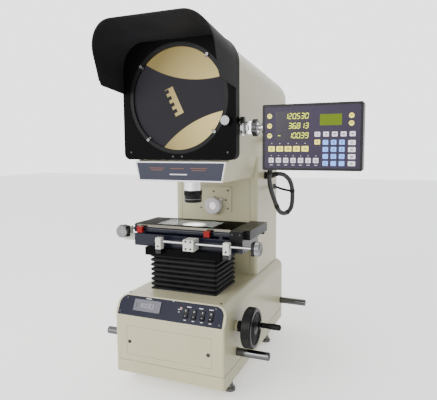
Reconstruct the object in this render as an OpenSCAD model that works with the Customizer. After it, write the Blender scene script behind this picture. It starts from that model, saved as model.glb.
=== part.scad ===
// Optical comparator: vertical profile projector with a lifting stage and a digital readout.
// Millimetres. X to the right, Y to the back, Z up. The origin is on the bench, under the lens axis.

/* [Base] */
// Width of the base
base_w = 358; // [330:2:400]
// Lens axis to the front of the base
base_front = 186; // [175:1:220]
// Lens axis to the back of the base and column
base_back = 445; // [430:5:500]
// Underside of the base above the bench
foot_h = 43; // [38:1:52]
// Height of the bottom tray
tray_h = 40; // [30:1:46]
// Top of the base above the bench
base_top = 279; // [272:1:290]
// Wall of the tray and the housing
base_wall = 6; // [5:0.5:8]
// Radius of the long top edges
base_edge_r = 32; // [22:1:42]
// Height of the lower edge of the slanted control panel
panel_low = 220; // [212:1:226]
// How far the panel leans back
panel_lean = 31; // [24:1:40]
// Thickness of the control panel plate
panel_t = 1.6; // [1:0.2:2.4]
// Width of the front access cover
cover_w = 278; // [240:2:300]
// Height of the front access cover
cover_h = 88; // [70:1:96]
// Rocker switch pitch
rocker_pitch = 26.5; // [22:0.5:30]

/* [Feet and carry bars] */
// Diameter of a levelling foot pad
foot_d = 34; // [28:1:36]
// Feet in from the sides of the base
foot_inset = 19; // [18.5:0.5:30]
// Lens axis to the front feet
foot_front = 95; // [80:1:120]
// Lens axis to the rear feet
foot_rear = 278; // [240:2:340]
// Diameter of a carry bar
bar_d = 24; // [18:1:26]
// Free length of a carry bar
bar_out = 101; // [70:1:130]
// Length of a carry bar inside the base
bar_in = 64; // [45:1:72]
// Height of the carry bars
bar_z = 117; // [108:1:124]
// Lens axis to the rear carry bars
bar_rear = 417; // [380:1:420]

/* [Lift] */
// Lens axis to the handwheel shaft and lead screw
drive_y = 83; // [80:1:90]
// Height of the handwheel shaft
wheel_z = 197; // [194:1:202]
// Diameter of the handwheel
wheel_d = 118; // [100:2:126]
// Width of the handwheel rim
wheel_w = 30; // [22:1:34]
// Side of the base to the handwheel rim
wheel_gap = 30; // [22:1:40]
// Diameter of the handwheel shaft
shaft_d = 16; // [14:1:18]
// Length of the crank grip
grip_len = 62; // [45:1:75]
// Diameter of the crank grip
grip_d = 19; // [15:1:24]
// Lead screw diameter
screw_d = 16; // [14:1:18]
// Mitre gear pitch radius
gear_r = 16; // [15:0.5:17]
// Mitre gear teeth
gear_teeth = 16; // [14:2:20]
// Outer diameter of the hollow ram
ram_d = 110; // [104:1:114]
// Wall of the ram
ram_wall = 7; // [5:0.5:9]
// Bellows width across the pleat tips
bellows_w = 228; // [208:2:240]
// Bellows depth across the pleat tips
bellows_d = 170; // [160:2:172]
// Depth of a pleat
pleat = 11; // [8:1:13]
// Pleats of the bellows
pleats = 7; // [5:1:9]
// Width of the lift plate
lift_w = 266; // [250:2:280]
// Depth of the lift plate
lift_d = 170; // [164:2:174]
// Thickness of the lift plate
lift_t = 24; // [18:1:28]

/* [Stage] */
// Stage surface above the bench
stage_z = 478; // [470:1:484]
// Width of the stage table
table_w = 340; // [320:2:360]
// Depth of the stage table
table_d = 152; // [146:1:158]
// Lens axis to the middle of the table, to the left, as it stands
table_left = 20; // [10:1:25]
// Lens axis to the middle of the table, to the back, as it stands
table_back = 25; // [23:1:28]
// Thickness of the table plate
plate_t = 8; // [7:0.5:10]
// Thickness of the table body
body_t = 20; // [18:1:22]
// Width of the stage glass
glass_w = 200; // [170:2:206]
// Depth of the stage glass
glass_d = 100; // [90:1:104]
// Thickness of the stage glass
glass_t = 5; // [4:0.5:6]
// Depth of the X carriage in front of the lens axis
carriage_front = 66; // [64:0.5:67]
// Slide rail width
rail_w = 10; // [8:0.5:11]
// Running gap of the slides
slide_gap = 0.3; // [0.2:0.05:0.4]
// Diameter of the smooth drive rods
rod_d = 9; // [8:0.5:10]
// Lens axis to the X drive rod
rod_y0 = 94; // [93:0.5:98]
// Diameter of the drive knobs
knob_d = 45; // [38:1:46]
// Width of the Y scale housing
scale_w = 56; // [40:1:60]
// Length of the Y scale housing
scale_len = 176; // [150:2:190]
// Radius of the red clamp knobs
clamp_r = 12.6; // [10:0.2:12.6]

/* [Column, nose and lens] */
// Width of the column
column_w = 312; // [290:2:330]
// Lens axis to the front of the column
column_front = 181; // [178:1:195]
// Wall of the column
column_wall = 8; // [6:0.5:10]
// Radius of the column corners
column_r = 12; // [8:1:18]
// Lens axis to the front of the nose
nose_front = 93; // [90:0.5:100]
// Underside of the nose above the bench
nose_low = 623; // [616:1:630]
// Underside of the nose in from each side of the column
nose_in = 15; // [11:1:22]
// Upper edge of the nose in from each side of the column
nose_top_in = 3; // [1:0.5:6]
// Outer diameter of the lens barrel
lens_d = 54; // [46:1:60]
// Length of the lens below the nose
lens_len = 72; // [60:1:76]
// Radius of the surface illuminator
illum_r = 30; // [26:1:34]
// Height of the surface illuminator
illum_z = 520; // [516:1:528]

/* [Head and screen] */
// Underside of the head above the bench
head_low = 692; // [688:1:698]
// Width of the head
head_w = 352; // [340:2:360]
// Lens axis to the front flange of the head
head_front = 72; // [70:0.5:76]
// Lens axis to the back of the head
head_back = 490; // [470:5:520]
// Top of the head at its front
head_top = 1039; // [1034:1:1046]
// Fall of the head's top to the back, degrees
head_fall = 5.4; // [4:0.2:7]
// Wall of the head
head_wall = 5; // [4:0.5:7]
// Radius of the long top edges of head, frame and hood
head_edge_r = 80; // [60:1:90]
// Radius of the head's rear top edge
head_rear_r = 70; // [50:1:90]
// Screen diameter
screen_d = 300; // [280:2:304]
// Height of the screen centre
screen_z = 868.5; // [864:0.5:872]
// Width of the rotating ring's front face
ring_w = 12; // [10:0.5:14]
// Width of the screen frame
frame_w = 370; // [366:1:380]
// Thickness of the screen frame
frame_t = 30; // [26:1:34]
// Length of the hood in front of the frame at its lower edge
hood_len = 116; // [90:2:130]
// Rise of the hood's top to the front, degrees
hood_rise = 8; // [5:0.5:10]
// Lean of the hood's front edge, degrees
hood_lean = 19; // [10:1:24]
// Wall of the hood
hood_wall = 3; // [2.4:0.2:4]

/* [Readout] */
// Width of the readout
readout_w = 274; // [240:2:290]
// Height of the readout
readout_h = 183; // [160:1:190]
// Depth of the readout
readout_d = 48; // [40:1:52]
// Side of the head to the readout
readout_gap = 74; // [72:1:84]
// Lens axis to the middle of the readout arm, to the front
arm_y = 38; // [34:1:42]
// Height of the readout arm
arm_z = 781; // [774:1:790]
// Readout arm above the underside of the readout
arm_up = 121; // [104:1:128]
// Diameter of the readout arm bar
arm_d = 16; // [14:1:18]
// Diameter of the signal harness
harness_d = 16; // [12:0.5:17]

/* [Hidden] */
$fn = 64;
// running fit on radius
run = 0.05;
half_base = base_w / 2;
tray_top = foot_h + tray_h;
// shadow gap between tray and housing
seam_h = 2.2;
seam_in = 2;
panel_rise = base_top - panel_low;
panel_a = atan(panel_lean / panel_rise);
panel_len = panel_rise / cos(panel_a);
panel_margin = 8;
rocker_w = 13;
rocker_h = 24;
rocker_s = panel_len * 0.47;
rocker_x = 55;
counter_w = 90;
counter_h = 34;
counter_x = -74;
counter_s = panel_len * 0.55;
foot_x = half_base - foot_inset;
cover_z = 146;
cover_screw = 13;
// stage heights, from the surface down
plate_z = stage_z - plate_t;
body_z = plate_z - body_t;
carriage_top = body_z - slide_gap - 0.2;
lift_top = 411 + (stage_z - 478);
carriage_z = lift_top + slide_gap;
lift_z = lift_top - lift_t;
rail_h = 6.5;
x_rail_y = 54;
carriage_left = 160;
carriage_right = 212;
x_lo = -table_left - carriage_left;
x_hi = -table_left + carriage_right;
carriage_back = 80;
table_x0 = -table_left - table_w / 2;
table_x1 = -table_left + table_w / 2;
table_y0 = table_back - table_d / 2;
table_y1 = table_back + table_d / 2;
y_rail_x = [-table_left - 135, -table_left + 135];
y_rail_front = table_y0 + 3;
x_rod_z = carriage_top - 13.5;
bracket_x = [-72, 153];
bracket_w = 18;
nut_x = 32;
nut_w = 34;
x_knob_0 = 240;
knob_t = 16;
flange_t = 8;
ear_r = 6;
ear_out = 2;
drum_d = knob_d - 4;
y_rod_x = table_x0 - 26;
y_rod_z = body_z + 6;
y_rod_brackets = [-45, 65];
y_nut_y = 36;
y_knob_1 = -73;
clamp_x = [-table_left - 140, -table_left + 96];
clamp_z = body_z + clamp_r + 0.4;
// lamp in the tray, inside the foot of the ram
lamp_d = ram_d - 2 * ram_wall - 18;
lamp_wall = 4;
lamp_top = base_top - 113;
lens_edge = 4;
// lift
ram_low = 112;
foot_t = 16;
gear_h = 5;
gear_z = wheel_z - gear_r;
shelf_z = gear_z - 12;
wheel_x = half_base + wheel_gap;
grip_r = wheel_d / 2 - 14;
grip_a = -8;
hub_d = 33;
// column, nose, lens
nose_step = head_low - 8;
nose_w = column_w - 2 * nose_in;
nose_slope = (nose_in - nose_top_in) / (nose_step - nose_low);
lens_low = nose_low - lens_len;
lens_ring_top = lens_low + lens_len * 0.53;
// head
frame_low = head_low - 3;
frame_front = head_front + frame_t;
frame_top = head_top + 4;
ring_r = screen_d / 2 + ring_w;
// friction roller on the back of the rotating ring
roller_r = 9;
drive_z = screen_z - 65.5;
drive_knob_y = -head_front - 3 + roller_r;
roller_x = sqrt(pow(ring_r - 11, 2) - pow(screen_z - drive_z, 2));
// lock knob just outside the ring
lock_gap = 9;
lock_z = screen_z - 68;
lock_x = sqrt(pow(ring_r + lock_gap, 2) - pow(screen_z - lock_z, 2));
// outermost side of frame and head, where the drive knob sits
knob_side = max(frame_w, head_w) / 2;
hood_low = screen_z + 21.5;
first_mirror_z = head_low + 63;
first_mirror_a = 48;
first_mirror_w = 124;
first_mirror_l = 138;
mirror_t = 6;
screen_mirror_w = 280;
screen_mirror_top = screen_z + 46.5;
// readout
arm_x = head_w / 2;
pivot_x = arm_x + 20;
case_x = arm_x + readout_gap;
case_z = arm_z - arm_up;
clamp_x0 = pivot_x + 18.5;
// harness: places of the glands across head and column sides, and the run of the hanging loop
gland_len = 14;
head_gland = [225, head_low + 60];
column_gland = [280, nose_low - 1];
head_end = [head_w / 2 + gland_len, head_gland[0], head_gland[1]];
column_end = [column_w / 2 + gland_len, column_gland[0], column_gland[1]];
harness_route = concat(
    [for (p = [[0, 0, 0], [13.8, 0, -2.7], [25.5, 0, -10.5], [33.3, 0, -22.2], [36, 0, -36],
        [34.7, 0, -48.5]]) head_end + p],
    [[220.8, 225.3, 691.6], [206.1, 226.5, 671.4], [191.8, 228.5, 651.2], [186, 232, 627],
    [184.6, 238.3, 602], [186.6, 247.3, 577], [191.3, 257.8, 552], [197.3, 268.3, 527.5],
    [203.7, 278.3, 504.5], [209.1, 287.1, 491.7], [216.8, 299.7, 484.3], [225.5, 313.8, 483.9],
    [233.3, 326.6, 490.5], [239.1, 335.9, 502.8], [241.5, 339.9, 518.5], [242.3, 341.3, 538],
    [242, 341, 560], [239.5, 336.5, 584], [233, 326.5, 605.5], [221.5, 311, 621]],
    [for (p = [[37.5, 15.5, 5.5], [24, 5.5, 4.8], [12, 1, 1.5], [0, 0, 0]]) column_end + p]);

// helpers
module box(lo, hi) { translate(lo) cube(hi - lo); }

module along_x(x0, x1) { translate([x0, 0, 0]) rotate([90, 0, 90]) linear_extrude(x1 - x0) children(); }

module along_y(y0, y1) { translate([0, y1, 0]) rotate([90, 0, 0]) linear_extrude(y1 - y0) children(); }

module rod_x(x0, x1, y, z, d) { translate([x0, y, z]) rotate([0, 90, 0]) cylinder(h = x1 - x0, d = d); }

module rod_y(y0, y1, x, z, d) { translate([x, y1, z]) rotate([90, 0, 0]) cylinder(h = y1 - y0, d = d); }

module rod_z(z0, z1, x, y, d) { translate([x, y, z0]) cylinder(h = z1 - z0, d = d); }

// outline with rounded top corners, standing on y = 0
module round_top(w, h, r) {
    translate([-w / 2, 0]) square([w, h - r]);
    translate([-w / 2 + r, 0]) square([w - 2 * r, h]);
    for (s = [-1, 1]) translate([s * (w / 2 - r), h - r]) circle(r);
}

module round_rect(x0, y0, x1, y1, r) {
    translate([x0 + r, y0]) square([x1 - x0 - 2 * r, y1 - y0]);
    translate([x0, y0 + r]) square([x1 - x0, y1 - y0 - 2 * r]);
    for (x = [x0 + r, x1 - r], y = [y0 + r, y1 - r]) translate([x, y]) circle(r);
}

// on the slanted panel: x across, y up the slope, z outward
module on_panel(x, s) {
    translate([0, -base_front, panel_low]) rotate([90 - panel_a, 0, 0]) translate([x, s, 0]) children();
}

// side outline of the base, t inside the outer skin
function base_outline(t, low) = let (h = t / cos(panel_a)) [
    [-base_front + t, low], [base_back - t, low], [base_back - t, base_top - t],
    [-base_front + h + panel_lean * (panel_rise - t) / panel_rise, base_top - t],
    [-base_front + t, panel_low + (t - h) * panel_rise / panel_lean]];

module base_skin(t, low) {
    intersection() {
        along_x(-half_base + t, half_base - t) polygon(base_outline(t, low));
        along_y(-base_front - 1, base_back + 1) round_top(base_w - 2 * t, base_top - t, base_edge_r - t);
        linear_extrude(base_top + 1) round_rect(-half_base + t, -base_front + t, half_base - t, base_back - t, 8);
    }
}

function foot_points() = [for (x = [-foot_x, foot_x], y = [-foot_front, foot_rear]) [x, y]];

module base_tray() {
    color("ivory") {
        difference() {
            union() {
                translate([0, 0, foot_h]) linear_extrude(tray_h - seam_h)
                    round_rect(-half_base, -base_front, half_base, base_back, 8);
                translate([0, 0, foot_h + base_wall]) linear_extrude(tray_h - base_wall)
                    round_rect(-half_base + seam_in, -base_front + seam_in, half_base - seam_in,
                        base_back - seam_in, 8 - seam_in);
            }
            translate([0, 0, foot_h + base_wall]) linear_extrude(tray_h)
                round_rect(-half_base + base_wall, -base_front + base_wall, half_base - base_wall,
                    base_back - base_wall, 5);
            for (p = foot_points()) rod_z(foot_h - 1, foot_h + base_wall + 1, p[0], p[1], 12.2);
        }
        difference() {
            rod_z(foot_h + base_wall - 0.5, foot_h + base_wall + 8, 0, -drive_y, screw_d + 18);
            rod_z(foot_h + base_wall + 2, foot_h + base_wall + 9, 0, -drive_y, screw_d - 4 + 2 * run);
        }
    }
}

module bar_holes(d, x0, x1) {
    for (s = [0, 1], y = [-drive_y, bar_rear]) mirror([s, 0, 0]) rod_x(x0, x1, y, bar_z, d);
}

module base_housing() {
    color("ivory") difference() {
        union() {
            difference() {
                base_skin(0, tray_top);
                difference() {
                    base_skin(base_wall, tray_top - 1);
                    // cast bosses for the ram, the bars, the shaft and the lead screw
                    rod_z(base_top - 34, base_top, 0, 0, ram_d + 24);
                    bar_holes(bar_d + 14, half_base - base_wall - bar_in, half_base);
                    rod_x(half_base - 40, half_base, -drive_y, wheel_z, shaft_d + 20);
                    box([-26, -base_front, shelf_z], [54, -drive_y + 23, shelf_z + 10]);
                    box([38, -drive_y - 17, shelf_z + 9], [54, -drive_y + 17, wheel_z + 17]);
                }
            }
            rod_x(half_base - 1, half_base + 5, -drive_y, wheel_z, shaft_d + 14);
        }
        rod_z(base_top - 40, base_top + 1, 0, 0, ram_d + 2 * run);
        bar_holes(bar_d + 2 * run, half_base - base_wall - bar_in + 4, half_base + 1);
        rod_x(37, half_base + 6, -drive_y, wheel_z, shaft_d + 2 * run);
        rod_z(shelf_z - 1, shelf_z + 11, 0, -drive_y, screw_d + 2 * run);
        // recess of the access cover
        box([-cover_w / 2 - 0.8, -base_front - 1, cover_z - cover_h / 2 - 0.8],
            [cover_w / 2 + 0.8, -base_front + 3, cover_z + cover_h / 2 + 0.8]);
        // openings behind the panel: counter and switches
        on_panel(counter_x, counter_s) translate([-counter_w / 2 + 3, -counter_h / 2 + 3, -20])
            cube([counter_w - 6, counter_h - 6, 40]);
        on_panel(rocker_x, rocker_s) translate([-11, -18, -20]) cube([3 * rocker_pitch + 22, 36, 40]);
        // mains inlet and the wiring hole up into the column
        along_y(base_back - 30, base_back + 1) translate([96, 172]) square([28, 22]);
        rod_z(base_top - 20, base_top + 1, 0, base_back - 110, 60);
    }
}

module front_cover() {
    color("ivory") difference() {
        along_y(-base_front, -base_front + 3)
            round_rect(-cover_w / 2, cover_z - cover_h / 2, cover_w / 2, cover_z + cover_h / 2, 4);
        for (s = [-1, 1]) rod_y(-base_front - 1, -base_front + 1.4, s * (cover_w / 2 - 9), cover_z - 5, cover_screw);
    }
}

module control_panel() {
    color([0.18, 0.2, 0.3]) difference() {
        on_panel(0, 3) linear_extrude(panel_t) round_top(base_w - 2 * panel_margin, panel_len - 7, base_edge_r - 5);
        on_panel(counter_x, counter_s) translate([-counter_w / 2 + 2, -counter_h / 2 + 2, -5])
            cube([counter_w - 4, counter_h - 4, 20]);
        for (i = [0:3]) on_panel(rocker_x + i * rocker_pitch, rocker_s)
            translate([-rocker_w / 2 - 0.5, -rocker_h / 2 - 1.4, -5]) cube([rocker_w + 1, rocker_h + 2.8, 20]);
    }
}

module running_counter() {
    color("gray") on_panel(counter_x, counter_s) difference() {
        union() {
            translate([-counter_w / 2, -counter_h / 2, panel_t]) cube([counter_w, counter_h, 3]);
            translate([-counter_w / 2 + 3.4, -counter_h / 2 + 3.4, -18])
                cube([counter_w - 6.8, counter_h - 6.8, 19 + panel_t]);
        }
        translate([-counter_w / 2 + 8, -counter_h / 2 + 8, panel_t + 1.6])
            cube([counter_w - 16, counter_h - 16, 4]);
    }
}

// rocker: a round hub on its pivot, with a vee top
module rocker(i) {
    color("black") on_panel(rocker_x + i * rocker_pitch, rocker_s)
        translate([-rocker_w / 2, 0, 0]) rotate([90, 0, 90]) linear_extrude(rocker_w) {
            circle(5);
            polygon([[-rocker_h / 2, 1.2], [rocker_h / 2, 1.2], [rocker_h / 2, 5.5], [0, 4.2], [-rocker_h / 2, 7]]);
        }
}

module rocker_1() { rocker(0); }

module rocker_2() { rocker(1); }

module rocker_3() { rocker(2); }

module rocker_4() { rocker(3); }

module levelling_feet() {
    color("dimgray") for (p = foot_points()) translate([p[0], p[1], 0]) {
        rotate_extrude() polygon([[0, 0], [foot_d / 2, 0], [foot_d / 2, 8], [foot_d / 2 - 5, 13], [9.5, 20],
            [8, foot_h - 9], [0, foot_h - 9]]);
        translate([0, 0, foot_h - 9]) cylinder(h = 9, d = 21, $fn = 6);
        cylinder(h = foot_h + base_wall + 8, d = 12);
    }
}

module carry_bars() {
    color("silver") for (s = [0, 1], y = [-drive_y, bar_rear]) mirror([s, 0, 0]) {
        rod_x(half_base - base_wall - bar_in + 4, half_base + bar_out - 2, y, bar_z, bar_d);
        translate([half_base + bar_out - 2, y, bar_z]) rotate([0, 90, 0])
            cylinder(h = 2, d1 = bar_d, d2 = bar_d - 4);
    }
}

module mains_inlet() {
    color("black") difference() {
        union() {
            along_y(base_back, base_back + 3) round_rect(90, 167, 130, 199, 4);
            along_y(base_back - 22, base_back + 1) translate([96.4, 172.4]) square([27.2, 21.2]);
        }
        along_y(base_back - 15, base_back + 4) translate([99, 175]) square([22, 16]);
    }
}

module lamp_housing() {
    color("gray") {
        difference() {
            rod_z(foot_h + base_wall, lamp_top, 0, 0, lamp_d);
            rod_z(foot_h + base_wall + 5, lamp_top + 1, 0, 0, lamp_d - 2 * lamp_wall);
            for (a = [0:60:300]) rotate([0, 0, a]) rod_x(20, lamp_d / 2 + 6, 0, tray_top - 3, 14);
        }
        rod_z(foot_h + base_wall + 4, tray_top + 13, 0, 0, 24);
    }
}

module condenser_lens() {
    color("lightblue") translate([0, 0, lamp_top]) {
        cylinder(h = lens_edge, d = lamp_d - lamp_wall);
        translate([0, 0, lens_edge]) intersection() {
            translate([0, 0, -72]) sphere(81);
            cylinder(h = 12, d = lamp_d - lamp_wall);
        }
    }
}

// one pleat ring: eight points of a rectangle with cut corners
function pleat_ring(w, d, c, z) = [[w / 2 - c, -d / 2, z], [w / 2, -d / 2 + c, z], [w / 2, d / 2 - c, z],
    [w / 2 - c, d / 2, z], [-w / 2 + c, d / 2, z], [-w / 2, d / 2 - c, z], [-w / 2, -d / 2 + c, z],
    [-w / 2 + c, -d / 2, z]];

function tube_faces(n, rings) = [for (k = [0:rings - 1], j = [0:n - 1])
    [k * n + j, ((k + 1) % rings) * n + j, ((k + 1) % rings) * n + (j + 1) % n, k * n + (j + 1) % n]];

module bellows() {
    n = 2 * pleats;
    step = (lift_z - base_top) / n;
    outer = [for (i = [0:n]) let (b = i % 2 == 0 ? 0 : 2 * pleat)
        pleat_ring(bellows_w - b, bellows_d - b, 7, base_top + i * step)];
    inner = [for (i = [n:-1:0]) let (b = 3.4 + (i % 2 == 0 ? 0 : 2 * pleat))
        pleat_ring(bellows_w - b, bellows_d - b, 6, base_top + i * step)];
    pts = [for (r = concat(outer, inner), p = r) p];
    color([0.1, 0.1, 0.11]) polyhedron(pts, tube_faces(8, 2 * n + 2), 6);
}

module column_housing() {
    color("ivory") difference() {
        translate([0, 0, base_top]) linear_extrude(head_low - base_top)
            round_rect(-column_w / 2, column_front, column_w / 2, base_back, column_r);
        translate([0, 0, base_top - 1]) linear_extrude(head_low - base_top + 2)
            round_rect(-column_w / 2 + column_wall, column_front + column_wall, column_w / 2 - column_wall,
                base_back - column_wall, column_r - 5);
        // seam of the front cover
        for (s = [-1, 1]) box([s * 131 - 0.8, column_front - 1, base_top + 10],
            [s * 131 + 0.8, column_front + 1.5, nose_low - 8]);
        box([-131.8, column_front - 1, base_top + 8.4], [131.8, column_front + 1.5, base_top + 10]);
        rod_y(column_front - 1, column_front + column_wall + 1, 0, illum_z, 30 + 2 * run);
        rod_x(column_w / 2 - column_wall - 1, column_w / 2 + 1, column_gland[0], column_gland[1], harness_d + 6.2);
        // louvres for the lamp's warm air
        for (z = [330:14:414]) box([-60, base_back - column_wall - 1, z], [60, base_back + 1, z + 5]);
    }
}

module illuminator_plate() {
    color("ivory") difference() {
        along_y(column_front - 4, column_front) round_rect(-64, illum_z - 24, 64, illum_z + 66, 5);
        rod_y(column_front - 5, column_front + 1, 0, illum_z, 30 + 2 * run);
    }
}

module illuminator_tube() {
    color("lightgray") translate([0, column_front - 4.3, illum_z]) rotate([90, 0, 0]) difference() {
        union() {
            cylinder(h = 22, r = illum_r);
            translate([0, 0, 22]) cylinder(h = 3, r1 = illum_r, r2 = illum_r - 3);
            translate([0, 0, -13]) cylinder(h = 14, d = 30);
            rotate([0, 0, 38]) translate([illum_r - 4, -3, 4]) cube([16, 6, 8]);
        }
        translate([0, 0, 18]) cylinder(h = 9, r = 14);
        translate([0, 0, -14]) cylinder(h = 40, d = 16);
    }
}

// nose section: a trapezoid, t inside the outer skin
module nose_section(t, z0, z1) {
    polygon([[-nose_w / 2 - nose_slope * (z0 - nose_low) + t, z0], [nose_w / 2 + nose_slope * (z0 - nose_low) - t, z0],
        [nose_w / 2 + nose_slope * (z1 - nose_low) - t, z1], [-nose_w / 2 - nose_slope * (z1 - nose_low) + t, z1]]);
}

module nose_housing() {
    color("ivory") difference() {
        union() {
            along_y(-nose_front, column_front) nose_section(0, nose_low, nose_step);
            along_y(-head_front + 1, column_front) nose_section(0, nose_step - 0.5, head_low);
        }
        along_y(-nose_front + 6, column_front - 6) nose_section(6.4, nose_low + 8, nose_step - 6);
        box([-120, -head_front + 8, nose_step - 7], [120, column_front - 6, head_low + 1]);
        rod_z(nose_low - 1, nose_low + 9, 0, 0, lens_d + 2 * run);
    }
}

module nose_panel() {
    color([0.3, 0.32, 0.45]) along_y(-nose_front - 1.5, -nose_front) nose_section(5, nose_low + 4, nose_step - 4);
}

module lens_barrel() {
    color("lightgray") difference() {
        union() {
            rod_z(lens_ring_top, nose_low + 22, 0, 0, lens_d);
            rod_z(nose_low - 6, nose_low, 0, 0, lens_d + 14);
        }
        rod_z(lens_ring_top - 1, nose_low + 23, 0, 0, lens_d - 10);
    }
}

module lens_ring() {
    color("black") difference() {
        union() {
            rod_z(lens_low + 3, lens_ring_top, 0, 0, lens_d + 2);
            translate([0, 0, lens_low]) cylinder(h = 3, d1 = lens_d - 2, d2 = lens_d + 2);
            rod_z(lens_ring_top - 1, lens_ring_top + 8, 0, 0, lens_d - 10 - 0.7);
        }
        rod_z(lens_low - 1, lens_ring_top + 9, 0, 0, lens_d - 20);
        rod_z(lens_low - 1, lens_low + 12, 0, 0, lens_d - 14);
    }
}

module lens_glass() {
    color("lightblue") rod_z(lens_low + 5, lens_low + 12, 0, 0, lens_d - 14.1);
}

// head section, standing far below its floor, along the falling top
module head_prism(t) {
    translate([0, -head_front, head_top]) rotate([-head_fall, 0, 0]) translate([0, 0, -500])
        along_y(-60, 640) round_top(head_w - 2 * t, 500 - t, head_edge_r - t);
}

function head_line(y) = head_top - tan(head_fall) * (y + head_front);

module head_side(t) {
    r = head_rear_r - t;
    yc = head_back - head_rear_r;
    zc = head_line(yc) - head_rear_r / cos(head_fall);
    translate([-head_front - (t > 0 ? 2 : 0), head_low + t])
        square([yc + head_front + (t > 0 ? 2 : 0), head_top - head_low + 20]);
    translate([yc - 5, head_low + t]) square([head_back - t - yc + 5, zc - head_low - t]);
    translate([yc, zc]) circle(r);
}

module head_housing() {
    my = first_mirror_z - head_low - head_wall;
    color("ivory") {
        difference() {
            intersection() {
                head_prism(0);
                along_x(-head_w / 2, head_w / 2) head_side(0);
            }
            intersection() {
                head_prism(head_wall);
                along_x(-head_w / 2, head_w / 2) head_side(head_wall);
            }
            rod_z(head_low - 1, head_low + head_wall + 1, 0, 0, 96);
            rod_z(head_low - 1, head_low + head_wall + 1, 0, base_back - 110, 60);
            rod_x(head_w / 2 - head_wall - 1, head_w / 2 + 1, head_gland[0], head_gland[1], harness_d + 6.2);
            rod_x(head_w / 2 - head_wall - 1, head_w / 2 + 1, drive_knob_y, drive_z, 8 + 2 * run);
        }
        // cheeks under the first mirror
        for (s = [-1, 1]) along_x(s * 54 - 4, s * 54 + 4) polygon([[-my / tan(first_mirror_a) + 10, head_low + head_wall - 0.5],
            [50, head_low + head_wall - 0.5], [50, first_mirror_z + 50 * tan(first_mirror_a)],
            [-my / tan(first_mirror_a) + 10, first_mirror_z - my + 10 * tan(first_mirror_a)]]);
    }
}

module projection_mirrors() {
    color("silver") {
        translate([0, 0, first_mirror_z]) rotate([first_mirror_a, 0, 0]) translate([-first_mirror_w / 2, -66, 0])
            cube([first_mirror_w, first_mirror_l, mirror_t]);
        box([-screen_mirror_w / 2, head_back - head_wall - mirror_t - 2, head_low + head_wall],
            [screen_mirror_w / 2, head_back - head_wall, screen_mirror_top]);
    }
}

// outline of the frame: rounded top like the head, small radius below
module frame_outline(w, z0, z1, r) {
    translate([0, z0 + 30]) round_top(w, z1 - z0 - 30, r);
    round_rect(-w / 2, z0, w / 2, z0 + 60, 20);
}

module screen_frame() {
    color([0.1, 0.1, 0.11]) difference() {
        along_y(-frame_front, -head_front) frame_outline(frame_w, frame_low, frame_top, head_edge_r);
        rod_y(-frame_front - 1, -head_front - 5, 0, screen_z, 2 * (ring_r + run));
        rod_y(-head_front - 6, -head_front + 1, 0, screen_z, 2 * (ring_r - 5));
        // room for the drive roller behind the ring
        box([roller_x - 9, -head_front - 6, drive_z - 12], [roller_x + 16, -head_front + 1, drive_z + 12]);
        rod_y(-frame_front - 1, -frame_front + 16, lock_x, lock_z, 8 + 2 * run);
    }
}

module hood_shell(t) {
    translate([0, -frame_front, frame_top]) rotate([-hood_rise, 0, 0]) translate([0, 0, -400])
        along_y(-260, 60) round_top(frame_w - 2 * t, 400 - t, head_edge_r - t);
}

module hood() {
    y0 = -frame_front - hood_len;
    z0 = hood_low + 14;
    h = 190;
    color([0.1, 0.1, 0.11]) intersection() {
        difference() {
            hood_shell(0);
            hood_shell(hood_wall);
        }
        along_x(-frame_w / 2 - 1, frame_w / 2 + 1) {
            difference() {
                polygon([[-frame_front, hood_low], [-frame_front, z0 + h], [y0 - h * tan(hood_lean), z0 + h], [y0, z0]]);
                translate([y0 - 4, z0 - 4]) square([16, 14]);
            }
            translate([y0 + 10.5, z0 + 9]) circle(10);
        }
    }
}

module screen_ring() {
    color([0.14, 0.14, 0.15]) difference() {
        union() {
            rod_y(-frame_front + 2, -head_front - 6, 0, screen_z, 2 * ring_r);
            rod_y(-head_front - 8, -head_front - 3, 0, screen_z, 2 * (ring_r - 5.5));
        }
        rod_y(-frame_front - 1, -head_front, 0, screen_z, screen_d);
        rod_y(-frame_front + 10, -head_front, 0, screen_z, screen_d + 6.2);
    }
}

module screen_glass() {
    color([0.6, 0.5, 0.3]) rod_y(-frame_front + 10, -frame_front + 15, 0, screen_z, screen_d + 6);
}

module screen_clips() {
    color("silver") for (a = [50.5:90:320.5]) translate([0, -frame_front + 2, screen_z]) rotate([90, 0, 0])
        rotate([0, 0, a]) translate([ring_r - 7, 0, 0]) {
            translate([-10, -3.5, 0]) cube([13, 7, 1]);
            cylinder(h = 4.5, d = 11);
        }
}

module ring_drive_knob() {
    color("black") {
        rod_x(roller_x - 2, knob_side + 2, drive_knob_y, drive_z, 8);
        rod_x(roller_x, roller_x + 7, drive_knob_y, drive_z, 2 * (roller_r - 0.3));
        rod_x(knob_side + 1, knob_side + 13, drive_knob_y, drive_z, 17);
    }
}

module ring_lock_knob() {
    color("silver") {
        rod_y(-frame_front - 5, -frame_front + 14, lock_x, lock_z, 8);
        rod_y(-frame_front - 15, -frame_front - 4, lock_x, lock_z, 26);
    }
}

module arm_flange() {
    color("gray") difference() {
        union() {
            rod_x(arm_x, arm_x + 7, -arm_y, arm_z, 46);
            box([arm_x + 6, -arm_y - 9, arm_z - 7], [pivot_x, -arm_y + 9, arm_z + 7]);
            rod_z(arm_z - 7, arm_z + 7, pivot_x, -arm_y, 18);
        }
        rod_z(arm_z - 8, arm_z + 8, pivot_x, -arm_y, 10 + 2 * run);
    }
}

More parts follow.
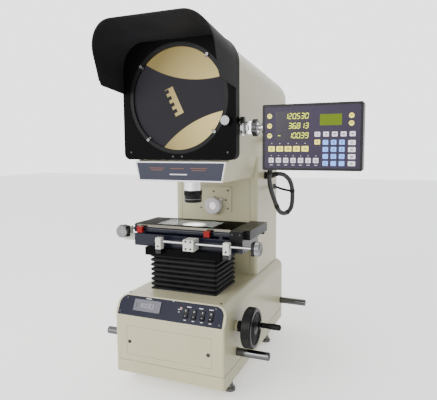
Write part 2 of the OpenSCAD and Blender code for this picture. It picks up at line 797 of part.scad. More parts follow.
module arm_knuckle() {
    color("ivory") difference() {
        union() {
            rod_z(arm_z - 18, arm_z + 18, pivot_x, -arm_y, 23);
            box([pivot_x, -arm_y - 11.5, arm_z - 18], [clamp_x0, -arm_y + 11.5, arm_z + 18]);
            rod_x(clamp_x0 - 1, clamp_x0 + 15, -arm_y, arm_z, 30);
        }
        difference() {
            box([pivot_x - 20, -arm_y - 20, arm_z - 7.3], [pivot_x + 10, -arm_y + 20, arm_z + 7.3]);
            rod_z(arm_z - 8, arm_z + 8, pivot_x, -arm_y, 10);
        }
        rod_x(pivot_x + 13, clamp_x0 + 16, -arm_y, arm_z, arm_d + 2 * run);
    }
}

module arm_clamp_ring() {
    color("black") difference() {
        union() {
            rod_x(clamp_x0 + 0.4, clamp_x0 + 14, -arm_y, arm_z, 44);
            for (a = [0:60:300]) translate([0, -arm_y, arm_z]) rotate([a, 0, 0])
                rod_x(clamp_x0 + 0.4, clamp_x0 + 14, 0, 19, 12);
        }
        rod_x(clamp_x0 - 1, clamp_x0 + 16, -arm_y, arm_z, 30 + 2 * run);
    }
}

module readout_bar() {
    color("ivory") {
        rod_x(clamp_x0 + 1, case_x - 5, -arm_y, arm_z, arm_d);
        rod_x(case_x - 6, case_x, -arm_y, arm_z, arm_d + 16);
    }
}

module readout_case() {
    color([0.1, 0.1, 0.12]) difference() {
        translate([0, -arm_y + readout_d / 2, 0]) rotate([90, 0, 0]) linear_extrude(readout_d)
            round_rect(case_x, case_z, case_x + readout_w, case_z + readout_h, 5);
        box([case_x + 5, -arm_y - readout_d / 2 - 1, case_z + 5],
            [case_x + readout_w - 5, -arm_y - readout_d / 2 + 1.5, case_z + readout_h - 5]);
        box([case_x + 4, -arm_y - readout_d / 2 + 4, case_z + 4],
            [case_x + readout_w - 4, -arm_y + readout_d / 2 - 3, case_z + readout_h - 4]);
        for (x = [60:16:220]) box([case_x + x, -arm_y + readout_d / 2 - 4, case_z + 120],
            [case_x + x + 6, -arm_y + readout_d / 2 + 1, case_z + 150]);
    }
}

// key positions on the readout, from its lower left corner: x, z, width, height
keys = concat(
    [for (i = [0:2]) [21, 151 - 27.3 * i, 14, 14]],
    [for (i = [0:1]) [244, 147 - 20 * i, 14, 14]],
    [for (i = [0:4]) [155 + 23.1 * i, 99, 15, 13]],
    [for (i = [0:4]) [27 + 23.65 * i, 60, 19, 15]],
    [for (i = [0:6]) [26 + 20.9 * i, 28, 14.5, 14]],
    [[155, 78, 15, 13]],
    [for (i = [0:2], j = [0:3]) [177 + 21.6 * i, 77 - 18.9 * j, 14.5, 13]],
    [for (j = [0:3]) [246, 76 - 18.6 * j, 19, 13]]);

module readout_keypad() {
    y = -arm_y - readout_d / 2;
    sx = readout_w / 274;
    sz = readout_h / 183;
    color([0.16, 0.15, 0.26]) {
        box([case_x + 5.4, y + 0.3, case_z + 5.4], [case_x + readout_w - 5.4, y + 1.5, case_z + readout_h - 5.4]);
        for (k = keys) translate([case_x + k[0] * sx, y, case_z + k[1] * sz])
            translate([-k[2] / 2, -0.5, -k[3] / 2]) cube([k[2], 1, k[3]]);
    }
}

// gland in a side wall: x of the outer face, wall, place across the side
module gland(x, wall, at) {
    difference() {
        union() {
            rod_x(x - wall, x + 1, at[0], at[1], harness_d + 6);
            rod_x(x, x + 5, at[0], at[1], harness_d + 12);
            rod_x(x + 4, x + gland_len, at[0], at[1], harness_d + 5);
        }
        rod_x(x - wall - 1, x + 6, at[0], at[1], harness_d);
    }
}

module harness_glands() {
    color("black") {
        gland(head_w / 2, head_wall, head_gland);
        gland(column_w / 2, column_wall, column_gland);
    }
}

// tube swept along a route with 10-sided rings
function unit(v) = v / norm(v);

function sweep_dirs(p) = [for (i = [0:len(p) - 1]) i == 0 || i == len(p) - 1 ? [1, 0, 0] * (i == 0 ? 1 : -1)
    : unit(p[i + 1] - p[i - 1])];

module signal_harness() {
    n = 10;
    p = harness_route;
    d = sweep_dirs(p);
    pts = [for (i = [0:len(p) - 1]) let (u = unit(cross(d[i], [0.25, 0.95, -0.2])), v = cross(d[i], u))
        for (j = [0:n - 1]) p[i] + harness_d / 2 * (cos(360 / n * j) * u + sin(360 / n * j) * v)];
    m = len(p);
    faces = concat([[for (j = [0:n - 1]) j]], [[for (j = [n - 1:-1:0]) (m - 1) * n + j]],
        [for (i = [0:m - 2], j = [0:n - 1])
            [i * n + j, (i + 1) * n + j, (i + 1) * n + (j + 1) % n, i * n + (j + 1) % n]]);
    color([0.1, 0.1, 0.11]) polyhedron(pts, faces, 6);
}

module lift_plate() {
    color([0.13, 0.13, 0.15]) difference() {
        union() {
            translate([0, 0, lift_z]) linear_extrude(lift_t)
                round_rect(-lift_w / 2, -lift_d / 2, lift_w / 2, lift_d / 2, 6);
            for (s = [-1, 1]) box([-lift_w / 2, s * x_rail_y - rail_w / 2, lift_top - 1],
                [lift_w / 2, s * x_rail_y + rail_w / 2, lift_top + rail_h]);
        }
        rod_z(lift_z - 1, lift_top + 1, 0, 0, ram_d - 2 * ram_wall - 4);
    }
}

module lift_ram() {
    color("silver") difference() {
        union() {
            rod_z(ram_low, lift_z, 0, 0, ram_d);
            box([-20, -drive_y - 20, ram_low], [20, -ram_d / 2 + 12, ram_low + foot_t]);
        }
        rod_z(ram_low - 1, lift_z + 1, 0, 0, ram_d - 2 * ram_wall);
        rod_z(ram_low - 1, ram_low + foot_t + 1, 0, -drive_y, screw_d + 0.7);
    }
}

module gear_profile(turn) {
    p = 360 / gear_teeth;
    ra = gear_r * 1.06;
    rf = gear_r * 0.87;
    polygon([for (i = [0:gear_teeth - 1], k = [[rf, -0.3], [ra, -0.1], [ra, 0.1], [rf, 0.3]])
        let (a = (i + k[1]) * p + turn) k[0] * [cos(a), sin(a)]]);
}

module lead_screw() {
    color("silver") {
        rod_z(foot_h + base_wall + 2.3, foot_h + base_wall + 9, 0, -drive_y, screw_d - 4);
        rod_z(foot_h + base_wall + 8.4, gear_z + 1, 0, -drive_y, screw_d);
        rod_z(shelf_z + 10.3, gear_z, 0, -drive_y, screw_d + 6);
        translate([0, -drive_y, gear_z]) linear_extrude(gear_h, scale = (gear_r - gear_h) / gear_r) gear_profile(0);
    }
}

module handwheel_shaft() {
    color("silver") {
        rod_x(gear_r - 1, wheel_x + wheel_w - 8, -drive_y, wheel_z, shaft_d);
        rod_x(gear_r, 36, -drive_y, wheel_z, shaft_d + 6);
        translate([gear_r, -drive_y, wheel_z]) rotate([0, -90, 0])
            linear_extrude(gear_h, scale = (gear_r - gear_h) / gear_r) gear_profile(180 / gear_teeth);
    }
}

module handwheel() {
    color("black") {
        translate([wheel_x, -drive_y, wheel_z]) rotate([0, 90, 0]) difference() {
            union() {
                translate([0, 0, 3]) cylinder(h = wheel_w - 6, d = wheel_d);
                cylinder(h = 3, d1 = wheel_d - 6, d2 = wheel_d);
                translate([0, 0, wheel_w - 3]) cylinder(h = 3, d1 = wheel_d, d2 = wheel_d - 6);
                translate([0, 0, 6 - wheel_gap]) cylinder(h = wheel_gap, d = hub_d);
            }
            // dished faces between hub and rim
            for (z = [-1, wheel_w - 7]) translate([0, 0, z]) difference() {
                cylinder(h = 8, d = wheel_d - 22);
                translate([0, 0, -1]) cylinder(h = 10, d = hub_d + 2);
                translate([0, 0, -1]) rotate([0, 0, 90 + grip_a]) translate([grip_r, 0, 0]) cylinder(h = 10, d = 26);
            }
            translate([0, 0, -wheel_gap]) cylinder(h = wheel_gap + wheel_w - 8, d = shaft_d + 2 * run);
        }
        // crank pin for the grip
        translate([0, -drive_y, wheel_z]) rotate([grip_a, 0, 0]) {
            rod_x(wheel_x + wheel_w - 1, wheel_x + wheel_w + grip_len - 8, grip_r, 0, 8);
            rod_x(wheel_x + wheel_w - 1, wheel_x + wheel_w + 2, grip_r, 0, 13);
        }
    }
}

module crank_grip() {
    r = grip_d / 2;
    color([0.08, 0.08, 0.08]) translate([0, -drive_y, wheel_z]) rotate([grip_a, 0, 0])
        translate([wheel_x + wheel_w + 2.3, grip_r, 0]) rotate([0, 90, 0]) rotate_extrude() difference() {
            polygon([[0, 0], [r - 2.5, 0], [r - 1, 4], [r - 1.6, 14], [r, grip_len * 0.6], [r - 0.6, grip_len - 6],
                [r - 3, grip_len - 2], [0, grip_len - 0.5]]);
            square([4 + run, grip_len - 9.7]);
        }
}

module x_carriage() {
    color([0.2, 0.22, 0.32]) difference() {
        union() {
            box([x_lo, -carriage_front, carriage_z], [x_hi, carriage_back, carriage_top]);
            for (x = y_rail_x) box([x - rail_w / 2, y_rail_front, carriage_top - 1],
                [x + rail_w / 2, carriage_back - 4, carriage_top + rail_h]);
        }
        for (s = [-1, 1]) box([x_lo - 1, s * x_rail_y - rail_w / 2 - slide_gap, carriage_z - 1],
            [x_hi + 1, s * x_rail_y + rail_w / 2 + slide_gap, lift_top + rail_h + slide_gap]);
        box([-table_left - glass_w / 2 - 8, -44, carriage_z - 1], [-table_left + glass_w / 2 + 8, 44, carriage_top + 1]);
    }
}

module x_drive_brackets() {
    color("lightgray") for (x = bracket_x) difference() {
        along_x(x - bracket_w / 2, x + bracket_w / 2)
            round_rect(-rod_y0 - 11, lift_top - 13, -lift_d / 2, carriage_top - 1, 3);
        rod_x(x - bracket_w, x + bracket_w, -rod_y0, x_rod_z, rod_d + 2 * run);
    }
}

module x_drive_nut() {
    color("lightgray") difference() {
        along_x(nut_x - nut_w / 2, nut_x + nut_w / 2) union() {
            round_rect(-rod_y0 - 13, lift_top + 3, -carriage_front, carriage_top - 0.5, 3);
            translate([-carriage_front - 8, lift_top + 3]) square([8, carriage_top - lift_top - 3.5]);
        }
        rod_x(nut_x - nut_w, nut_x + nut_w, -rod_y0, x_rod_z, rod_d + 0.7);
    }
}

module x_drive_rod() {
    color("silver") rod_x(bracket_x[0] - bracket_w / 2 - 5, x_knob_0 + knob_t - 6, -rod_y0, x_rod_z, rod_d);
}

// knob on its own axis: eared flange, short neck, drum with a chamfered face
module drive_knob() {
    difference() {
        union() {
            linear_extrude(flange_t) {
                circle(d = drum_d);
                for (a = [45:90:315]) translate((knob_d / 2 - ear_r + ear_out) * [cos(a), sin(a)]) circle(ear_r);
            }
            translate([0, 0, flange_t - 1]) cylinder(h = 3, d = drum_d - 10);
            translate([0, 0, flange_t + 0.8]) cylinder(h = knob_t - 2.8, d = drum_d);
            translate([0, 0, flange_t + knob_t - 2]) cylinder(h = 2, d1 = drum_d, d2 = drum_d - 4);
        }
        translate([0, 0, -1]) cylinder(h = flange_t + knob_t - 5, d = rod_d + 0.05);
    }
}

module x_drive_knob() {
    color("silver") translate([x_knob_0 - flange_t, -rod_y0, x_rod_z]) rotate([0, 90, 0]) drive_knob();
}

module y_drive_brackets() {
    color("lightgray") for (y = y_rod_brackets) difference() {
        along_y(y - 6, y + 6) union() {
            round_rect(y_rod_x - 15, carriage_z + 12, y_rod_x + 14, y_rod_z + 13, 3);
            translate([y_rod_x, carriage_z + 12]) square([x_lo - y_rod_x, carriage_top - carriage_z - 16]);
        }
        rod_y(y - 7, y + 7, y_rod_x, y_rod_z, rod_d + 2 * run);
    }
}

module y_drive_rod() {
    color("silver") rod_y(y_knob_1 - knob_t + 6, y_rod_brackets[1] + 10, y_rod_x, y_rod_z, rod_d);
}

module y_drive_knob() {
    color("silver") translate([y_rod_x, y_knob_1 + flange_t, y_rod_z]) rotate([90, 0, 0]) drive_knob();
}

module y_scale_housing() {
    x0 = table_x1 + 2;
    color([0.3, 0.31, 0.33]) {
        box([x0, table_y0 + 5, carriage_top], [x0 + scale_w, table_y0 + 5 + scale_len, stage_z]);
        // end cap, down over the front of the carriage
        box([x0, -carriage_front - 4, carriage_top], [x_hi, table_y0 + 6, stage_z - 1]);
        box([x0, -carriage_front - 4, carriage_z + 12], [x_hi, -carriage_front, carriage_top + 1]);
    }
}

module table_body() {
    color([0.12, 0.12, 0.16]) difference() {
        union() {
            along_x(table_x0, table_x1) union() {
                translate([table_y0 + 7, body_z]) square([table_d - 7, body_t]);
                round_rect(table_y0, body_z, table_y0 + 40, body_z + body_t, 7);
            }
            // lug of the Y drive nut
            box([y_rod_x - 14, y_nut_y - 14, body_z + 0.5], [table_x0 + 1, y_nut_y + 14, plate_z - 2]);
        }
        for (x = y_rail_x) box([x - rail_w / 2 - slide_gap, table_y0 - 1, body_z - 1],
            [x + rail_w / 2 + slide_gap, table_y1 + 1, carriage_top + rail_h + slide_gap]);
        box([-table_left - glass_w / 2 + 4, table_back - glass_d / 2 + 4, body_z - 1],
            [-table_left + glass_w / 2 - 4, table_back + glass_d / 2 - 4, plate_z + 1]);
        rod_y(y_nut_y - 15, y_nut_y + 15, y_rod_x, y_rod_z, rod_d + 0.7);
        for (x = clamp_x) rod_y(table_y0 - 1, table_y0 + 16, x, clamp_z, 8 + 2 * run);
    }
}

module table_plate() {
    color("silver") difference() {
        translate([0, 0, plate_z]) linear_extrude(plate_t) round_rect(table_x0, table_y0, table_x1, table_y1, 3);
        box([-table_left - glass_w / 2 + 4, table_back - glass_d / 2 + 4, plate_z - 1],
            [-table_left + glass_w / 2 - 4, table_back + glass_d / 2 - 4, stage_z + 1]);
        box([-table_left - glass_w / 2 - 0.2, table_back - glass_d / 2 - 0.2, stage_z - glass_t],
            [-table_left + glass_w / 2 + 0.2, table_back + glass_d / 2 + 0.2, stage_z + 1]);
    }
}

module stage_glass() {
    color("lightblue") box([-table_left - glass_w / 2, table_back - glass_d / 2, stage_z - glass_t],
        [-table_left + glass_w / 2, table_back + glass_d / 2, stage_z]);
}

// four-lobed clamp knob on a threaded stem
module clamp_knob(x) {
    color("red") {
        rod_y(table_y0 - 6, table_y0 + 14, x, clamp_z, 8);
        translate([x, table_y0 - 2, clamp_z]) rotate([90, 0, 0]) {
            cylinder(h = 6, r = clamp_r * 0.6);
            translate([0, 0, 5]) cylinder(h = 11, r = clamp_r * 0.72);
            for (a = [45:90:315]) rotate([0, 0, a]) translate([clamp_r * 0.62, 0, 5]) cylinder(h = 11, r = clamp_r * 0.38);
        }
    }
}

module clamp_knob_left() { clamp_knob(clamp_x[0]); }

module clamp_knob_right() { clamp_knob(clamp_x[1]); }

base_tray();
base_housing();
front_cover();
control_panel();
running_counter();
levelling_feet();
carry_bars();
mains_inlet();
lamp_housing();
condenser_lens();
bellows();
column_housing();
illuminator_plate();
nose_housing();
nose_panel();
lens_barrel();
lens_ring();
lens_glass();
head_housing();
projection_mirrors();
screen_frame();
hood();
arm_flange();
harness_glands();
signal_harness();
lift_plate();
lift_ram();
x_drive_brackets();
lead_screw();
handwheel_shaft();
handwheel();
crank_grip();
x_carriage();
x_drive_nut();
y_drive_brackets();
y_scale_housing();
x_drive_rod();
x_drive_knob();
table_body();
table_plate();
stage_glass();
y_drive_rod();
y_drive_knob();
clamp_knob_left();
clamp_knob_right();
screen_ring();
screen_glass();
screen_clips();
ring_drive_knob();
ring_lock_knob();
illuminator_tube();
arm_knuckle();
arm_clamp_ring();
readout_bar();
readout_case();
readout_keypad();
rocker_1();
rocker_2();
rocker_3();
rocker_4();
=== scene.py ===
"""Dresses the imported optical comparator: finishes, screen, readout, controls, bellows, harness and studio."""
import functools
import math
from contextlib import contextmanager

import bmesh
import bpy
from bpy.props import FloatProperty, FloatVectorProperty, IntProperty, PointerProperty
from mathutils import Matrix, Vector


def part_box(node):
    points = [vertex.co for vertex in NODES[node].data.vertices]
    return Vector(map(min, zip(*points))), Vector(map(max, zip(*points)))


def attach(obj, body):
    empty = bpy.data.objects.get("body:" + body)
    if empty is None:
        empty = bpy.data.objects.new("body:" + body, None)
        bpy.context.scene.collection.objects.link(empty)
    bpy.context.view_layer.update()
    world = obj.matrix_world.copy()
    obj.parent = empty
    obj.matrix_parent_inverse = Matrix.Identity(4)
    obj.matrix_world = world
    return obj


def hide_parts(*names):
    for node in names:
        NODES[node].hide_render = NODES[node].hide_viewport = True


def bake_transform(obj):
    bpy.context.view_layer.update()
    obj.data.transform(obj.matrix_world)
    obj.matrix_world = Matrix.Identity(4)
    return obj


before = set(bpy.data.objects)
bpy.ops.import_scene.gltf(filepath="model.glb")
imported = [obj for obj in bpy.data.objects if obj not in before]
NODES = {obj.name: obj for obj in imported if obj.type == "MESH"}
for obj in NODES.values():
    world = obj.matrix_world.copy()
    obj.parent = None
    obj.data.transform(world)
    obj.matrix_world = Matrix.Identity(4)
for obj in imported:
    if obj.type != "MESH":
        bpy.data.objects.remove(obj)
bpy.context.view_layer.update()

bl_info = {
    "name": "Optical Comparator",
    "version": (1, 0, 0),
    "blender": (4, 5, 0),
    "location": "3D View > Sidebar > Comparator",
    "description": "Finishes and small parts of a vertical profile projector",
    "category": "Object",
}

MM = 0.001
FRONT = Vector((0, -1, 0))
BACK = Vector((0, 1, 0))
RIGHT = Vector((1, 0, 0))
UP = Vector((0, 0, 1))

# Camera: place, turn, tip and roll in degrees, focal length and shift in widths of the picture
EYE_PLACE = (0.6378, -1.3276, 0.7290)
EYE_TURNS = (22.27, 5.99, -0.38)
EYE_FOCUS = 461.44 / 437
EYE_SHIFT = (-0.0040, -0.0127)
SENSOR_WIDTH = 36.0

# Studio: half width and glow of the floor, and the key light's place, aim and width
FLOOR_REACH = 9
FLOOR_GLOW = 0.45
LAMP_PLACE = Vector((-1.1, -2.6, 1.5))
LAMP_AIM = Vector((0, 0, 0.55))
LAMP_WIDTH = 1.6

# Slanted control panel: its lower edge and its two directions, then in millimetres the height of its print,
# the switches across and up it, their marks from the middle, the lamp and the meter
PANEL_FOOT = Vector((0, -0.186, 0.220))
PANEL_TILT = math.radians(62.28)
PANEL_UP = Vector((0, math.cos(PANEL_TILT), math.sin(PANEL_TILT)))
PANEL_OUT = Vector((0, -math.sin(PANEL_TILT), math.cos(PANEL_TILT)))
PANEL_PRINT = 1.6
ROCKERS = (55.0, 81.5, 108.0, 134.5)
ROCKER_S = 31.33
ROCKER_MARK = 7.5
LAMP_SPOT = (38, 44)
METER_SPOT = (-74, 36.66)

# Lean of the nose's side walls: outward for each metre up
NOSE_SLOPE = 12 / 61

# Screen: middle, and radii of its clips' blades and heads
SCREEN_Z = 0.8685
CLIP_IN = 0.145
CLIP_OUT = 0.158
CLIP_HEAD = 0.155

# Picture on the screen: its half width, then in half widths the blur of its edges, two bright fields by
# middle and radius, the foot and run of the toothed gauge, the start and rate of its teeth, and the
# brightest spot
SCREEN_REACH = 0.150
SCREEN_BLUR = 0.012
FIELDS = ((0.5046, 2.6411, 2.2911), (1.319, -2.4978, 2.2646))
GAUGE_FOOT = (-0.167, 0.180)
GAUGE_RUN = math.atan2(-0.461, 0.2145)
TEETH_START = 1.019
TEETH_RATE = 7.143
BRIGHTEST = (0.95, -0.35)

# Handwheel's axis
WHEEL_Y = -0.083
WHEEL_Z = 0.197

# Route of the signal harness, from the head's gland to the column's gland
HARNESS_ROUTE = [
    (190, 225, 752), (203.8, 225, 749.3), (215.5, 225, 741.5), (223.3, 225, 729.8), (226, 225, 716),
    (224.7, 225, 703.5), (220.8, 225.3, 691.6), (206.1, 226.5, 671.4), (191.8, 228.5, 651.2),
    (186, 232, 627), (184.6, 238.3, 602), (186.6, 247.3, 577), (191.3, 257.8, 552),
    (197.3, 268.3, 527.5), (203.7, 278.3, 504.5), (209.1, 287.1, 491.7), (216.8, 299.7, 484.3),
    (225.5, 313.8, 483.9), (233.3, 326.6, 490.5), (239.1, 335.9, 502.8), (241.5, 339.9, 518.5),
    (242.3, 341.3, 538), (242, 341, 560), (239.5, 336.5, 584), (233, 326.5, 605.5),
    (221.5, 311, 621), (207.5, 295.5, 627.5), (194, 285.5, 626.8), (182, 281, 623.5),
    (170, 280, 622),
]

# Harness: pitch and turns of its braid, ridges of its boots, ties by share of its length, and the stud
# of the strap that holds the last tie
BRAID_PITCH = 700.0
BRAID_TURNS = 50.265
BOOT_RIDGES = (0.0042, 0.0032, 0.0032)
HARNESS_TIES = (0.30, 0.47, 0.60, 0.765)
STRAP_STUD = Vector((0.156, 0.393, 0.573))

# Readout: lower left corner of its key sheet's front, its number keys from that corner in millimetres and
# their text, the rise of its keys, and the left end, first foot and step of its lit rows
READOUT_FACE = Vector((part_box("readout_case")[0].x, -0.0617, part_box("readout_case")[0].z))
NUMBER_KEYS = [(177 + 21.6 * i, 77 - 18.9 * j) for i in range(3) for j in range(4)]
NUMBER_TEXT = "7410852 963-"
KEY_RISE = 0.0008
DIGIT_X = 63.5
DIGIT_FOOT = 142.5
DIGIT_STEP = 26.4

# Seven-bar numbers: bars of each mark, and its width, step and point in heights
BARS = {"0": "abcdef", "1": "bc", "2": "abged", "3": "abgcd", "4": "fgbc", "5": "afgcd", "6": "afgedc",
        "7": "abc", "8": "abcdefg", "9": "abcdfg", "-": "g", " ": ""}
MARK_WIDTH = 0.56
MARK_STEP = 0.82
POINT_BACK = 0.18

# Colour of settled dust, and nothing in three parts
DUST = (0.55, 0.53, 0.48)
ZERO = (0.0, 0.0, 0.0)


def colour_prop(label, use, value):
    """A colour that a user may repaint."""
    return FloatVectorProperty(
        name=label, description=use, subtype="COLOR", size=3, min=0.0, max=1.0, default=value)


def size_prop(label, use, value):
    """A length that a user may change."""
    return FloatProperty(name=label, description=use, default=value, min=0.0, unit="LENGTH")


def share_prop(label, use, value):
    """A share from none to all."""
    return FloatProperty(name=label, description=use, default=value, min=0.0, max=1.0)


class ComparatorPaint(bpy.types.PropertyGroup):
    """Colours of the comparator's finishes."""

    ivory: colour_prop("Ivory", "Enamel of the base, column, nose and head", (0.385, 0.362, 0.230))
    black: colour_prop("Black", "Paint of the screen frame and the hood", (0.0022, 0.0022, 0.0024))
    navy: colour_prop("Navy", "Control panel", (0.0055, 0.0065, 0.017))
    blue: colour_prop("Blue", "Nose panel", (0.0150, 0.0160, 0.0310))
    border: colour_prop("Border", "Pale border of the nose panel", (0.66, 0.66, 0.74))
    table: colour_prop("Table", "Carriage and table sides", (0.0065, 0.0072, 0.0150))
    block: colour_prop("Block", "Drive blocks and brackets", (0.50, 0.50, 0.46))
    red: colour_prop("Red", "Clamp knobs", (0.19, 0.0030, 0.0025))
    violet: colour_prop("Violet", "Readout key sheet", (0.024, 0.0165, 0.036))
    key_yellow: colour_prop("Yellow keys", "Axis and function keys", (0.85, 0.77, 0.10))
    key_white: colour_prop("White keys", "Function keys", (0.62, 0.60, 0.66))
    key_blue: colour_prop("Blue keys", "Number keys", (0.17, 0.38, 1.0))
    digit: colour_prop("Digits", "Lit segments of the readout", (0.62, 0.68, 0.06))
    crystal: colour_prop("Crystal", "Small olive display", (0.072, 0.108, 0.0027))
    gold: colour_prop("Gold", "Bright field on the screen", (0.60, 0.45, 0.15))
    shadow: colour_prop("Shadow", "Shadow of the work on the screen", (0.0185, 0.0172, 0.0225))


class ComparatorSizes(bpy.types.PropertyGroup):
    """Sizes of the comparator's small parts."""

    screw_r: size_prop("Screw head radius", "Cap screws on the covers", 0.0031)
    screw_h: size_prop("Screw head height", "Cap screws on the covers", 0.0019)
    socket_r: size_prop("Screw socket radius", "Hexagon socket of the cap screws", 0.0016)
    pleat_depth: size_prop("Pleat depth", "How far the bellows fold in", 0.0105)
    key_corner: size_prop("Key corner", "Corner radius of the square keys", 0.0018)
    digit_h: size_prop("Digit height", "Height of the lit numbers", 0.0140)
    harness_d: size_prop("Harness", "Diameter of the signal harness", 0.016)
    pleats: IntProperty(name="Pleats", description="Folds of the bellows", default=7, min=3, max=20)
    knurls: IntProperty(name="Knurls", description="Ridges round a drive knob", default=64, min=12, max=120)


class ComparatorStudio(bpy.types.PropertyGroup):
    """Studio round the comparator."""

    floor: colour_prop("Floor", "Plain pale floor", (0.96, 0.96, 0.955))
    key: FloatProperty(
        name="Key light", description="Power of the key light", default=48.0, min=0.0, unit="POWER")
    sky: FloatProperty(name="Sky", description="Strength of the white surround", default=2.6, min=0.0)
    shade: share_prop("Shade", "Share of the surround left on the right", 0.20)
    overhead: share_prop("Overhead", "Share of the surround left overhead", 0.62)


class Graph:
    """A node tree while it is being wired."""

    def __init__(self, tree):
        self.tree = tree

    def add(self, kind, wires=None, **settings):
        """A new node with its settings and its inputs."""
        node = self.tree.nodes.new(kind)
        for key, value in settings.items():
            setattr(node, key, value)
        self.feed(node, wires or {})
        return node

    def feed(self, node, wires):
        """Wires or sets inputs by name or place; a node stands for its first output."""
        for key, value in wires.items():
            socket = node.inputs[key]
            if isinstance(value, bpy.types.Node):
                value = value.outputs[0]
            if isinstance(value, bpy.types.NodeSocket):
                self.tree.links.new(value, socket)
            elif socket.type == "RGBA" and len(value) == 3:
                socket.default_value = (*value, 1.0)
            else:
                socket.default_value = value

    def close(self, wires):
        """The tree, with its outputs wired."""
        self.add("NodeGroupOutput", wires)
        return self.tree

    def math(self, operation, *values):
        """A Math node's result."""
        return self.add("ShaderNodeMath", dict(enumerate(values)), operation=operation).outputs[0]

    def chain(self, operation, *values):
        """Values joined one after the other by a Math operation."""
        return functools.reduce(functools.partial(self.math, operation), values)

    def times(self, *values):
        """The product of some values."""
        return self.chain("MULTIPLY", *values)

    def mix(self, factor, a, b):
        """Colour a turning into colour b."""
        return self.add("ShaderNodeMix", {0: factor, 6: a, 7: b}, data_type="RGBA").outputs[2]

    def span(self, value, low, high, new_low=0.0, new_high=1.0):
        """A value mapped from one range to another, clamped."""
        return self.add("ShaderNodeMapRange", {0: value, 1: low, 2: high, 3: new_low, 4: new_high}).outputs[0]

    def between(self, value, start, stop, blur):
        """Mask of a value between two limits that fade inward."""
        return self.times(self.span(value, start, start + blur), self.span(value, stop, stop - blur))

    def far(self, u, v, a, b):
        """Distance of the point u, v from the point a, b."""
        du = self.math("SUBTRACT", u, a)
        dv = self.math("SUBTRACT", v, b)
        return self.math("SQRT", self.math("ADD", self.times(du, du), self.times(dv, dv)))

    def place(self, space="Object"):
        """The shaded point in one of its spaces."""
        return self.add("ShaderNodeTexCoord").outputs[space]

    def xyz(self, vector):
        """The three parts of a vector."""
        return self.add("ShaderNodeSeparateXYZ", {0: vector}).outputs

    def vector(self, x=0.0, y=0.0, z=0.0):
        """A vector of three parts."""
        return self.add("ShaderNodeCombineXYZ", {0: x, 1: y, 2: z})

    def noise(self, scale, detail, place=None):
        """Noise, in the object's own space unless a place is given."""
        place = place or self.place()
        return self.add("ShaderNodeTexNoise", {"Vector": place, "Scale": scale, "Detail": detail}).outputs[0]

    def bump(self, height, distance, strength):
        """A relief for a shader's normal."""
        return self.add("ShaderNodeBump", {"Height": height, "Distance": distance, "Strength": strength})

    def group(self, key, wires=None):
        """The outputs of one of the shader groups."""
        return self.add("ShaderNodeGroup", wires, node_tree=GROUPS[key]).outputs


# Shader groups


def shader_group(name, inputs, outputs):
    """The graph of an empty shader group with named float sockets, and its inputs."""
    tree = bpy.data.node_groups.new(name, "ShaderNodeTree")
    for key, value in inputs.items():
        tree.interface.new_socket(key, in_out="INPUT", socket_type="NodeSocketFloat").default_value = value
    for key in outputs:
        tree.interface.new_socket(key, in_out="OUTPUT", socket_type="NodeSocketFloat")
    graph = Graph(tree)
    return graph, graph.add("NodeGroupInput").outputs


def grain_group():
    """Fine relief and broad mottling of a coated surface."""
    graph, given = shader_group("Paint Grain", {"Fine": 700.0, "Broad": 9.0}, ["Relief", "Mottle"])
    broad = graph.span(graph.noise(given["Broad"], 5.0), 0.3, 0.7)
    return graph.close({"Relief": graph.noise(given["Fine"], 3.0), "Mottle": broad})


def wear_group():
    """Mask of the edges that hands and tools rub."""
    graph, given = shader_group("Edge Wear", {"Width": 0.002, "Breakup": 120.0}, ["Mask"])
    round_normal = graph.add("ShaderNodeBevel", {"Radius": given["Width"]}, samples=4)
    flat_normal = graph.add("ShaderNodeNewGeometry").outputs["Normal"]
    facing = graph.add("ShaderNodeVectorMath", {0: round_normal, 1: flat_normal}, operation="DOT_PRODUCT")
    edge = graph.span(facing.outputs["Value"], 0.985, 0.80)
    patches = graph.span(graph.noise(given["Breakup"], 4.0), 0.42, 0.62)
    return graph.close({"Mask": graph.times(edge, patches)})


def dust_group():
    """Mask of the dust that settles on upward faces."""
    graph, given = shader_group("Settled Dust", {"Scale": 60.0}, ["Mask"])
    height = graph.xyz(graph.add("ShaderNodeNewGeometry").outputs["Normal"])[2]
    specks = graph.span(graph.noise(given["Scale"], 6.0), 0.4, 0.75)
    return graph.close({"Mask": graph.times(graph.span(height, 0.5, 1.0), specks)})


def brush_group():
    """Fine scratches drawn out along one direction."""
    graph, given = shader_group(
        "Brushed Lines", {"Along X": 8.0, "Along Y": 900.0, "Along Z": 900.0}, ["Line"])
    stretch = graph.vector(given[0], given[1], given[2])
    drawn = graph.add("ShaderNodeVectorMath", {0: graph.place(), 1: stretch}, operation="MULTIPLY")
    return graph.close({"Line": graph.span(graph.noise(1.0, 4.0, drawn), 0.3, 0.7)})


GROUPS = {}
FINISH = {}


def shades(colour, share):
    """A colour a little darker and a little lighter."""
    return [tuple(max(0.0, min(1.0, c * k)) for c in colour) for k in (1.0 - share, 1.0 + share)]


def blank(name):
    """A new material's graph and its Principled shader."""
    material = bpy.data.materials.new(name)
    material.use_nodes = True
    FINISH[name] = material
    return Graph(material.node_tree), material.node_tree.nodes["Principled BSDF"]


